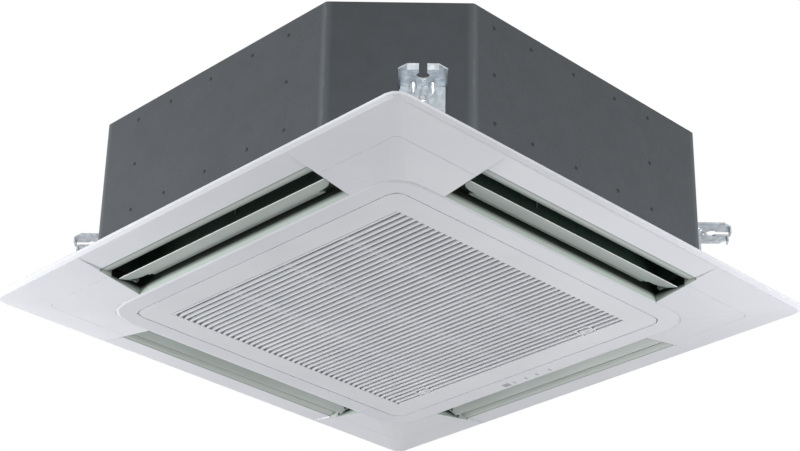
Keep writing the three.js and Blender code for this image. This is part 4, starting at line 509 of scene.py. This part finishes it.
class FinishLouvres(bpy.types.Operator):
    """Paints the four louvres with their bushes and motors"""
    bl_idname = "cassette.finish_louvres"
    bl_label = "Louvre finish"

    def execute(self, context):
        # Louvres in pale grey-green ABS with long flow lines: the strips seen in the outlets, with a
        # painted highlight along the outer edge.
        blade = moulded_plastic("abs_louvre_pale", "#B4BEBA", "#A8B3AE", 1.2, (0.3, 0.42),
                                edge_mm=0.6, overlay=lit_outer_edge)
        # Acetal bush: waxy, a touch yellow.
        bush = moulded_plastic("acetal_bush", "#D9D7CC", "#CDCBBF", 0.8, (0.3, 0.4))
        # Zinc-plated can of the step motor, with small crystals.
        motor = zinc_sheet("zinc_motor_can", "#B4B8BC", "#9EA3A8", 5.0)
        paint(blade, *[f"louvre_{s}" for s in SIDES])
        paint(bush, *[f"louvre_bush_{s}" for s in SIDES])
        paint(motor, *[f"louvre_motor_{s}" for s in SIDES])
        return {"FINISHED"}


class FinishDisplay(bpy.types.Operator):
    """Paints the receiver window and the lamps' light guide"""
    bl_idname = "cassette.finish_display"
    bl_label = "Display finish"

    def execute(self, context):
        # Smoked acrylic over the receiver: a small glossy grey patch.
        paint(tinted_window("acrylic_smoked", "#A2A5AA", "#94979C"), "receiver_window")
        # Frosted polycarbonate of the unlit lamps: a dull grey against the white.
        paint(tinted_window("polycarbonate_frosted", "#BFC2C6", "#B0B3B8"), "light_guide")
        return {"FINISHED"}


class FinishCabinet(bpy.types.Operator):
    """Paints the cabinet, its top plate, the liner and the panel's seal"""
    bl_idname = "cassette.finish_cabinet"
    bl_label = "Cabinet finish"

    def execute(self, context):
        # Dark grey stove coating on sheet steel: matt, with slight orange peel, and a pale line
        # along each upright bend, partly wear and partly a painted highlight.
        coat = coated_sheet("steel_dark_coating", "#3B4045", "#363A3F", "#70777B")
        # Bare galvanised top, large spangle.
        top = zinc_sheet("steel_galvanised_top", "#A9AFB5", "#8F969D", 14.0)
        # Closed-cell polyethylene foam, charcoal.
        liner = bead_foam("polyethylene_liner", "#3A3C3E", "#242627", 3.5)
        # Open-cell seal tape, dark grey and dull.
        seal = bead_foam("seal_foam", "#2C2D2F", "#1A1B1C", 1.2)
        paint(coat, "cabinet_shell")
        paint(top, "top_plate")
        paint(liner, "insulation_liner")
        paint(seal, "panel_seal")
        return {"FINISHED"}


class FinishBrackets(bpy.types.Operator):
    """Paints the hanger brackets, the panel brackets and the panel bolts"""
    bl_idname = "cassette.finish_brackets"
    bl_label = "Bracket finish"

    def execute(self, context):
        # Pressed from galvanised sheet: mixed bright and dull crystals.
        sheet = zinc_sheet("steel_galvanised_bracket", "#C9CFD3", "#ACB2B8", 7.0, (0.34, 0.5))
        # Zinc-plated bolts, turned and bright.
        bolt = drawn_metal("steel_plated_bolt", "#C2C6CA", "#A5A9AE", 0.8, (0.2, 0.36))
        paint(sheet, *[f"hanger_bracket_{c}" for c in CORNERS],
              *[f"panel_bracket_{c}" for c in CORNERS])
        paint(bolt, *[f"panel_bolt_{c}" for c in CORNERS])
        return {"FINISHED"}


class FinishPanAndBell(bpy.types.Operator):
    """Paints the drain pan and the bell mouth"""
    bl_idname = "cassette.finish_pan"
    bl_label = "Pan and bell finish"

    def execute(self, context):
        # Drain pan in dark green-grey foam, partly its own dark tone and partly painted shade for
        # the ducts seen through the outlets, which read near black.
        pan = bead_foam("polystyrene_dark_duct_shade", "#31493F", "#263B32", 4.0)
        # Bell mouth in dark grey moulded plastic, smooth so that air slides in.
        bell = moulded_plastic("abs_bell_grey", "#4A4D51", "#43464A", 1.2, (0.35, 0.45))
        paint(pan, "drain_pan")
        paint(bell, "bell_mouth")
        return {"FINISHED"}


class FinishFan(bpy.types.Operator):
    """Paints the turbo fan, its shaft and nut, the motor and its mount"""
    bl_idname = "cassette.finish_fan"
    bl_label = "Fan finish"

    def execute(self, context):
        # Glass-filled plastic fan: dull mid grey with short fibre streaks.
        fan = moulded_plastic("glass_filled_fan", "#6E7276", "#62666A", 0.9, (0.45, 0.6), 0.04)
        # Ground steel shaft and its nut.
        shaft = drawn_metal("steel_ground_shaft", "#C4C7CA", "#A9ADB1", 0.5, (0.18, 0.3))
        # Resin-moulded motor, matt black.
        motor = moulded_plastic("resin_motor_black", "#2B2D2F", "#232527", 1.6, (0.4, 0.55), 0.05)
        # Galvanised mount under the top plate.
        mount = zinc_sheet("steel_galvanised_mount", "#B6BBC0", "#9AA0A6", 8.0)
        paint(fan, "turbo_fan")
        paint(shaft, "fan_shaft", "fan_nut")
        paint(motor, "fan_motor")
        paint(mount, "motor_mount")
        return {"FINISHED"}


class FinishCoil(bpy.types.Operator):
    """Paints the heat exchanger, its tube sheets, the two pipes and their nuts"""
    bl_idname = "cassette.finish_coil"
    bl_label = "Coil and pipe finish"

    def execute(self, context):
        # Stacked fins: fine bright edges with dark air gaps in painted shade.
        fins = fin_pack("aluminium_fins", "#C6CED2", "#3A3F42", 2.8)
        # Galvanised tube sheets.
        ends = zinc_sheet("steel_galvanised_tube_sheet", "#B8BDC1", "#9DA3A8", 9.0)
        # Soft-drawn copper, browned in places.
        copper = drawn_metal("copper_drawn", "#C98A62", "#A5653F", 0.9, (0.22, 0.4))
        # Forged brass flare nuts.
        brass = drawn_metal("brass_forged", "#C9AA5E", "#A88A45", 1.1, (0.25, 0.42))
        paint(fins, "coil_fins")
        paint(ends, "coil_end_back", "coil_end_left")
        paint(copper, "gas_pipe", "liquid_pipe")
        paint(brass, "gas_nut", "liquid_nut")
        return {"FINISHED"}


class FinishDrain(bpy.types.Operator):
    """Paints the drain pump, its impeller, the hose and the outlet"""
    bl_idname = "cassette.finish_drain"
    bl_label = "Drain finish"

    def execute(self, context):
        # Pump body in white ABS, a bit glossy.
        body = moulded_plastic("abs_pump_white", "#D7D8D6", "#CBCCCA", 1.2, (0.28, 0.4))
        # Impeller in dark polypropylene.
        wheel = moulded_plastic("polypropylene_dark", "#3B3E41", "#333639", 0.8, (0.4, 0.5))
        # Soft PVC hose, milky grey.
        hose = moulded_plastic("soft_vinyl_hose", "#A9ADAA", "#9A9E9B", 2.0, (0.25, 0.38))
        # Outlet stub in hard grey PVC.
        stub = moulded_plastic("vinyl_outlet_grey", "#8A8E92", "#7E8286", 1.4, (0.35, 0.48))
        paint(body, "drain_pump")
        paint(wheel, "pump_impeller")
        paint(hose, "drain_hose")
        paint(stub, "drain_outlet")
        return {"FINISHED"}


class FinishControls(bpy.types.Operator):
    """Paints the control box, its cover and the circuit board"""
    bl_idname = "cassette.finish_controls"
    bl_label = "Control box finish"

    def execute(self, context):
        # Galvanised box and cover.
        sheet = zinc_sheet("steel_galvanised_box", "#B2B7BC", "#979DA3", 10.0)
        # Green solder mask over copper tracks.
        board = board_laminate("epoxy_board_green", "#1F5B3A", "#3F8A5A", 5.0)
        paint(sheet, "control_box", "control_cover")
        paint(board, "circuit_board")
        return {"FINISHED"}


# ---- Operators: new pieces ------------------------------------------------------------

class AddFilter(bpy.types.Operator):
    """Makes the woven air filter with its rim and stays, in place of the plain CAD net"""
    bl_idname = "cassette.add_filter"
    bl_label = "Air filter"

    def execute(self, context):
        sizes = context.scene.cassette_sizes
        low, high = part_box("air_filter")
        half = high.x / MM
        bottom, top = low.z / MM, high.z / MM
        middle = (bottom + top) / 2
        # Polypropylene monofilament: dark matt threads, whose dark colour also serves as painted
        # shade in the gaps between the grille's slats.
        thread = moulded_plastic("polypropylene_thread", "#262A2D", "#202427", 3.0, (0.5, 0.62))
        # Moulded rim and stays, the same plastic in a thicker section.
        rim = moulded_plastic("polypropylene_rim", "#4A5054", "#42474B", 1.2, (0.4, 0.52))
        net = add_piece("filter_net", self.net(half - 9, middle, sizes), thread, "filter",
                        smooth=60)
        border = add_piece("filter_rim", self.rim(half, middle, (top - bottom) / 2), rim,
                           "filter")
        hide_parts("air_filter")
        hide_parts("air_filter")
        return {"FINISHED"}

    def net(self, reach, middle, sizes):
        """Plain weave: thread i runs along one axis at a constant place on the other. At crossing
        j its height is the middle plus or minus one radius, the sign being that of i plus j."""
        gaps, radius = sizes.thread_gaps, sizes.thread_radius
        places = np.linspace(-reach, reach, gaps + 1)
        inner = places[1:-1]
        sign = np.where((np.arange(gaps - 1)[:, None] + np.arange(gaps + 1)[None]) % 2, 1.0, -1.0)
        diamond = np.array([[radius, 0], [0, radius], [-radius, 0], [0, -radius]])
        shapes = []
        for along, flip in ((0, 1.0), (1, -1.0)):
            line = np.zeros((gaps - 1, gaps + 1, 4, 3))
            line[..., along] = places[None, :, None]
            line[..., 1 - along] = inner[:, None, None] + diamond[None, None, :, 0]
            line[..., 2] = (middle + flip * radius * sign[..., None]
                            + diamond[None, None, :, 1])
            grid = np.arange(line.size // 3).reshape(gaps - 1, gaps + 1, 4)
            first, second = grid[:, :-1], grid[:, 1:]
            if along == 0:
                first, second = second, first
            quads = np.stack([first, np.roll(first, -1, 2), np.roll(second, -1, 2), second], -1)
            start, end = (grid[:, -1], grid[:, 0]) if along == 0 else (grid[:, 0], grid[:, -1])
            faces = (quads.reshape(-1, 4).tolist() + start[:, ::-1].tolist() + end.tolist())
            shapes.append((line.reshape(-1, 3), faces))
        return joined(shapes)

    def rim(self, half, middle, rise):
        """A squared oval carried round a rounded square 5 mm in from the edge, and eight rounded
        stays each way, which end inside it, 8 mm in."""
        angle = np.linspace(0, 2 * np.pi, 96, endpoint=False)
        path = oval(half - 5, half - 5, 96, power=24.0)
        outward = np.stack([np.cos(angle), np.sin(angle)], -1)
        outward = np.sign(outward) * np.abs(outward) ** 0.2
        outward /= np.linalg.norm(outward, axis=1)[:, None]
        origins = np.column_stack([path, np.full(96, middle)])
        across = np.column_stack([outward, np.zeros(96)])
        shapes = [sweep(oval(4.6, rise, 16, power=5.0), origins, across, np.tile(UP, (96, 1)),
                        loop=True)]
        reach = half - 8
        for place in np.linspace(-reach, reach, 10)[1:-1]:
            for along in (0, 1):
                ends = np.zeros((2, 3))
                ends[:, 1 - along] = place
                ends[:, along] = (-reach, reach)
                ends[:, 2] = middle
                side = np.zeros((2, 3))
                side[:, 1 - along] = -1.0 if along == 0 else 1.0
                shapes.append(sweep(oval(1.5, 1.1, 10), ends, -side if along else side,
                                    np.tile(UP, (2, 1))))
        return joined(shapes)


class AddLinerPins(bpy.types.Operator):
    """Makes the small dark pins that hold the liner to the cabinet's four walls"""
    bl_idname = "cassette.add_liner_pins"
    bl_label = "Liner pins"

    def execute(self, context):
        radius = context.scene.cassette_sizes.pin_radius
        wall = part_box("cabinet_shell")[1].x / MM
        # Nylon push pins, black and matt.
        nylon = moulded_plastic("nylon_pin_black", "#0B0C0D", "#08090A", 0.6, (0.6, 0.7))
        columns, rows, middle_row = (-182, -99, 0, 99, 182), (270, 103.5), 187
        spots = [(s, z) for s in columns for z in rows]
        spots += [(s, middle_row) for s in (columns[0], columns[-1])]
        shapes = []
        for side in SIDES:
            outward, along = side_axes(side)
            centre = -37.5 if side in ("right", "left") else -1.5
            for s, z in spots:
                place = outward * wall + along * (centre + s) + UP * z
                shapes.append(self.pin(radius, place, outward))
        add_piece("liner_pins", joined(shapes), nylon, "housing")
        return {"FINISHED"}

    def pin(self, radius, place, outward):
        """Low dome: the height falls from its crown as the square of the radius."""
        share = np.array([1.0, 1.0, 0.85, 0.6, 0.3, 0.06])
        heights = np.array([-0.3, 0.25, 0.25 + 0.8 * (1 - 0.85 ** 2), 0.76, 0.98, 1.05])
        return turned_head(radius * share, heights, 14, place, outward)


class AddBracketScrews(bpy.types.Operator):
    """Makes the hexagon screws on the hanger brackets' legs and their round locating rivets"""
    bl_idname = "cassette.add_bracket_screws"
    bl_label = "Bracket screws"

    def execute(self, context):
        radius = context.scene.cassette_sizes.screw_radius
        # Zinc-plated thread-forming screws: bright turned steel.
        steel = drawn_metal("steel_plated_screw", "#D5D8DB", "#B3B7BB", 0.7, (0.16, 0.3))
        shapes = []
        for corner in CORNERS:
            outward, sideways, offset = corner_axes(corner)
            face = outward * FACE_OUT + sideways * offset
            for shift, height in ((0, 125), (-22, 96), (22, 96)):
                shapes += self.screw(radius, face + sideways * shift + UP * height, outward)
            shapes.append(self.rivet(outward * RIVET_OUT + sideways * offset + UP * PLATE_UNDER))
        add_piece("bracket_screws", joined(shapes), steel, "housing")
        return {"FINISHED"}

    def screw(self, radius, place, outward):
        """A round flange with a coned edge, and on it a hexagon whose top edge is chamfered."""
        flange = turned_head(np.array([1.25, 1.3, 1.25, 1.0]) * radius,
                             [-0.2, 0.3, 0.7, 1.0], 20, place, outward)
        hexagon = turned_head(np.array([0.8, 0.8, 0.68, 0.3]) * radius,
                              [0.8, 3.0, 3.6, 3.6], 24, place, outward, corners=6)
        return [flange, hexagon]

    def rivet(self, place):
        """A ring with a hollow middle: the height rises from the rim and dips to the centre."""
        return turned_head([4.4, 4.4, 3.9, 2.6, 2.2, 0.5], [-0.2, 0.5, 1.0, 1.0, 0.2, 0.1], 18,
                           place, -UP)


class AddDuctRibs(bpy.types.Operator):
    """Makes the small pale rib on the inner wall of each outlet's duct"""
    bl_idname = "cassette.add_duct_ribs"
    bl_label = "Duct ribs"

    def execute(self, context):
        width = context.scene.cassette_sizes.rib_width
        # Grey-green ABS clips on the duct's wall, in shade.
        plastic = moulded_plastic("abs_rib_pale", "#A9B4AD", "#9BA69F", 1.2, (0.35, 0.48))
        shapes = []
        for side, place in (("right", -47), ("back", 9), ("left", 47), ("front", -9)):
            outward, along = side_axes(side)
            shapes.append(self.rib(width, outward * DUCT_INNER + along * place, outward, along))
        add_piece("duct_ribs", joined(shapes), plastic, "housing")
        return {"FINISHED"}

    def rib(self, width, foot, outward, along):
        """Rounded bar up the wall. Its reach from the wall and its width grow with the square root
        of the sine of the share of its height, from 58 to 72 mm. Its axis is 0.9 mm off the wall."""
        share = np.linspace(0.02, 0.98, 9)
        swell = np.sqrt(np.sin(np.pi * share))[:, None]
        origins = foot + np.outer(58 + 14 * share, UP) + outward * 0.9
        return sweep(oval(width / 2, 1.3, 16, power=3.0), origins, swell * along,
                     swell * outward)


class AddBracketDarts(bpy.types.Operator):
    """Makes the two pressed darts that stiffen each hanger bracket's bend"""
    bl_idname = "cassette.add_bracket_darts"
    bl_label = "Bracket darts"

    def execute(self, context):
        half_width = context.scene.cassette_sizes.dart_width / 2
        # The bracket's own sheet, painted brighter as a highlight on the darts' facets.
        bright = zinc_sheet("steel_galvanised_dart_highlight", "#EEF1F3", "#D5DADD", 5.0, (0.3, 0.42))
        shapes = []
        for corner in CORNERS:
            outward, sideways, offset = corner_axes(corner)
            for side in (-1, 1):
                root = outward * FACE_OUT + sideways * (offset + side * 14) + UP * PLATE_UNDER
                shapes.append(self.dart(half_width, root, outward, sideways))
        add_piece("bracket_darts", joined(shapes), bright, "housing", smooth=50)
        return {"FINISHED"}

    def dart(self, half_width, root, outward, sideways):
        """A ridge runs straight from 13.5 mm out on the plate to 13.5 mm down on the leg. Across
        it, at share w of the half width, a point lies |w| to the power 1.5 of the way from the
        ridge to the bend's own corner. The half width follows the sine along the ridge. The back
        lies 0.25 mm inside the sheet."""
        reach, down = 13.5, -UP
        along = np.linspace(0.03, 0.97, 15)
        out = np.maximum(1 - 2 * along, 0) * reach
        drop = np.maximum(2 * along - 1, 0) * reach
        bend = np.outer(out, outward) + np.outer(drop, down)
        ridge = np.outer((1 - along) * reach, outward) + np.outer(along * reach, down)
        share = np.linspace(-1, 1, 11)
        width = half_width * np.sin(np.pi * along)
        lateral = width[:, None, None] * share[None, :, None] * sideways
        blend = (np.abs(share) ** 1.5)[None, :, None]
        front = root + lateral + bend[:, None] * blend + ridge[:, None] * (1 - blend)
        sunk = (outward - down) * -0.25
        back = root + lateral + bend[:, None] + sunk
        points = np.concatenate([front, back[:, ::-1]], axis=1)
        return points.reshape(-1, 3), tube_faces(*points.shape[:2])


class AddLatchGrips(bpy.types.Operator):
    """Makes the grip ridges on the two sliding latches of the grille"""
    bl_idname = "cassette.add_latch_grips"
    bl_label = "Latch grips"

    def execute(self, context):
        count = context.scene.cassette_sizes.grip_ridges
        # The latch's own polished ABS, a shade greyer.
        plastic = moulded_plastic("abs_grip_white", "#D3D6DB", "#C9CCD2", 0.8, (0.25, 0.36))
        for name in ("left", "right"):
            low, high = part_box(f"grille_latch_{name}")
            middle = (low.x + high.x) / 2 / MM
            first = low.y / MM
            shapes = []
            for y in np.linspace(first + 3, first + 10, count):
                ends = np.array([[middle - 7.5, y, low.z / MM], [middle + 7.5, y, low.z / MM]])
                shapes.append(self.ridge(ends))
            add_piece(f"latch_grips_{name}", joined(shapes), plastic, f"latch_{name}")
        return {"FINISHED"}

    def ridge(self, ends):
        """Half-round bar whose section shrinks towards its ends with the root of their sine."""
        share = np.linspace(0.02, 0.98, 11)
        swell = np.sqrt(np.sin(np.pi * share))[:, None]
        origins = ends[0] + share[:, None] * (ends[1] - ends[0])
        return sweep(oval(0.55, 0.5, 12), origins, swell * np.array([0.0, 1.0, 0.0]), swell * UP)


class AddCoverScrews(bpy.types.Operator):
    """Makes the pan-head screws that hold the control box's cover"""
    bl_idname = "cassette.add_cover_screws"
    bl_label = "Cover screws"

    def execute(self, context):
        low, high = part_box("control_cover")
        # Bright zinc-plated pan heads.
        steel = drawn_metal("steel_plated_pan_head", "#D0D3D6", "#AEB2B6", 0.6, (0.18, 0.32))
        shapes = []
        for x in (low.x / MM + 14, high.x / MM - 14):
            for y in (low.y / MM + 8, high.y / MM - 8):
                shapes.append(self.pan_head((x, y, low.z / MM)))
        add_piece("cover_screws", joined(shapes), steel, "housing")
        return {"FINISHED"}

    def pan_head(self, place):
        """Quarter-round dome with a dip in its crown."""
        radii = [3.4, 3.5, 3.2, 2.4, 1.4, 1.1, 0.2]
        heights = [-0.2, 0.7, 1.5, 2.0, 2.1, 1.4, 1.3]
        return turned_head(radii, heights, 18, place, -UP)


# ---- Operator: stage ------------------------------------------------------------------

class SetStage(bpy.types.Operator):
    """Makes the camera, the pale floor, the white surroundings and the soft lamps"""
    bl_idname = "cassette.set_stage"
    bl_label = "Stage"

    def execute(self, context):
        studio = context.scene.cassette_studio
        context.scene.view_settings.view_transform = "Standard"
        self.camera(context, studio)
        self.surroundings(context, studio)
        self.floor(context, studio)
        centre = Vector((0.0, 0.0, 0.12))
        self.overhead(context, studio.overhead)
        self.lamp(context, "lamp_left", (-2.23, -2.23, -0.46), centre, 1.28, studio.left_lamp)
        self.lamp(context, "lamp_corner", (-1.2, -1.0, -0.5), centre, 0.67, studio.corner_lamp)
        self.lamp(context, "lamp_right", (1.3, 0.75, -0.45), centre, 0.64, studio.right_lamp)
        self.lamp(context, "lamp_low", (-0.85, 1.47, -1.6), centre, 0.97, studio.low_lamp)
        self.lamp(context, "lamp_near", (1.13, -1.13, -0.04), centre, 0.64, studio.near_lamp)
        return {"FINISHED"}

    def camera(self, context, studio):
        data = bpy.data.cameras.new("photo_camera")
        data.lens = studio.lens
        data.sensor_width = 36
        data.sensor_fit = "HORIZONTAL"
        data.clip_start, data.clip_end = 0.05, 60
        a, e, r = studio.azimuth, studio.elevation, studio.roll
        back = Vector((math.sin(a) * math.cos(e), -math.cos(a) * math.cos(e), math.sin(e)))
        right = (-back).cross(Vector((0, 0, 1))).normalized()
        up = right.cross(-back)
        x_axis = right * math.cos(r) + up * math.sin(r)
        y_axis = up * math.cos(r) - right * math.sin(r)
        turn = Matrix((x_axis, y_axis, back)).transposed().to_4x4()
        camera = bpy.data.objects.new("photo_camera", data)
        camera.matrix_world = Matrix.Translation(studio.stand) @ turn
        context.scene.collection.objects.link(camera)
        context.scene.camera = camera

    def surroundings(self, context, studio):
        world = bpy.data.worlds.new("white_studio")
        world.use_nodes = True
        tree = world.node_tree
        tree.nodes.clear()
        path = add_node(tree, "ShaderNodeLightPath")
        seen = calculate(tree, "MAXIMUM", path.outputs["Is Camera Ray"],
                         path.outputs["Is Transmission Ray"])
        shown = calculate(tree, "MAXIMUM", seen, path.outputs["Is Glossy Ray"])
        strength = add_node(tree, "ShaderNodeMapRange", Value=shown,
                            To_Min=studio.ambient, To_Max=1.0)
        glow = add_node(tree, "ShaderNodeBackground", Color=(1, 1, 1, 1),
                        Strength=strength.outputs[0])
        add_node(tree, "ShaderNodeOutputWorld", Surface=glow.outputs[0])
        context.scene.world = world

    def floor(self, context, studio):
        """A flat square, pale on top. From below it lets the view through, so that it never hides
        the unit from a camera lower than the floor. It throws no light back on the unit."""
        half, z = 9.0, -studio.floor_drop
        mesh = bpy.data.meshes.new("floor")
        mesh.from_pydata([(-half, -half, z), (half, -half, z), (half, half, z), (-half, half, z)],
                         [], [(0, 1, 2, 3)])
        material, tree, output, place = new_material("floor_pale_screed")
        dust = noise(tree, place, 400, 3.0)
        base = blend_colours(tree, dust.outputs[0], "#F2F2F1", "#ECECEB")
        top = add_node(tree, "ShaderNodeBsdfPrincipled", Base_Color=base, Roughness=0.8)
        clear = add_node(tree, "ShaderNodeBsdfTransparent")
        facing = add_node(tree, "ShaderNodeNewGeometry")
        path = add_node(tree, "ShaderNodeLightPath")
        gone = calculate(tree, "MAXIMUM", facing.outputs["Backfacing"],
                         path.outputs["Is Diffuse Ray"])
        both = add_node(tree, "ShaderNodeMixShader", s0=gone, s1=top.outputs[0],
                        s2=clear.outputs[0])
        tree.links.new(both.outputs[0], output.inputs["Surface"])
        mesh.materials.append(material)
        floor = bpy.data.objects.new("floor", mesh)
        context.scene.collection.objects.link(floor)

    def overhead(self, context, strength):
        """Soft light straight down. It reaches the top and the floor, and no face that the
        photograph shows."""
        data = bpy.data.lights.new("overhead", "SUN")
        data.energy, data.angle = strength, math.radians(25)
        lamp = bpy.data.objects.new("overhead", data)
        context.scene.collection.objects.link(lamp)

    def lamp(self, context, name, place, target, size, power):
        data = bpy.data.lights.new(name, "AREA")
        data.shape, data.size, data.energy = "DISK", size, power
        lamp = bpy.data.objects.new(name, data)
        lamp.location = place
        lamp.rotation_euler = (target - Vector(place)).to_track_quat("-Z", "Y").to_euler()
        lamp.visible_camera = False
        context.scene.collection.objects.link(lamp)


# ---- Panel and registration -----------------------------------------------------------

FINISHES = (FinishPanel, FinishLouvres, FinishDisplay, FinishCabinet, FinishBrackets,
            FinishPanAndBell, FinishFan, FinishCoil, FinishDrain, FinishControls)
FITTINGS = (AddFilter, AddLinerPins, AddBracketScrews, AddBracketDarts, AddDuctRibs,
            AddLatchGrips, AddCoverScrews)
STEPS = FINISHES + FITTINGS + (SetStage,)


class CassettePanel(bpy.types.Panel):
    """Lists the cassette's sizes, its studio and every step"""
    bl_idname = "VIEW3D_PT_cassette"
    bl_label = "Ceiling Cassette"
    bl_space_type = "VIEW_3D"
    bl_region_type = "UI"
    bl_category = "Cassette"

    def draw(self, context):
        layout = self.layout
        for title, settings in (("Sizes", context.scene.cassette_sizes),
                                ("Studio", context.scene.cassette_studio)):
            box = layout.box()
            box.label(text=title)
            for name in settings.__annotations__:
                box.prop(settings, name)
        for step in STEPS:
            layout.operator(step.bl_idname)


CLASSES = (CassetteSizes, CassetteStudio) + STEPS + (CassettePanel,)


def register():
    for cls in CLASSES:
        bpy.utils.register_class(cls)
    bpy.types.Scene.cassette_sizes = PointerProperty(type=CassetteSizes)
    bpy.types.Scene.cassette_studio = PointerProperty(type=CassetteStudio)


def unregister():
    del bpy.types.Scene.cassette_studio
    del bpy.types.Scene.cassette_sizes
    for cls in reversed(CLASSES):
        bpy.utils.unregister_class(cls)


def main():
    register()
    for step in STEPS:
        group, name = step.bl_idname.split(".")
        getattr(getattr(bpy.ops, group), name)()


if __name__ == "__main__":
    main()
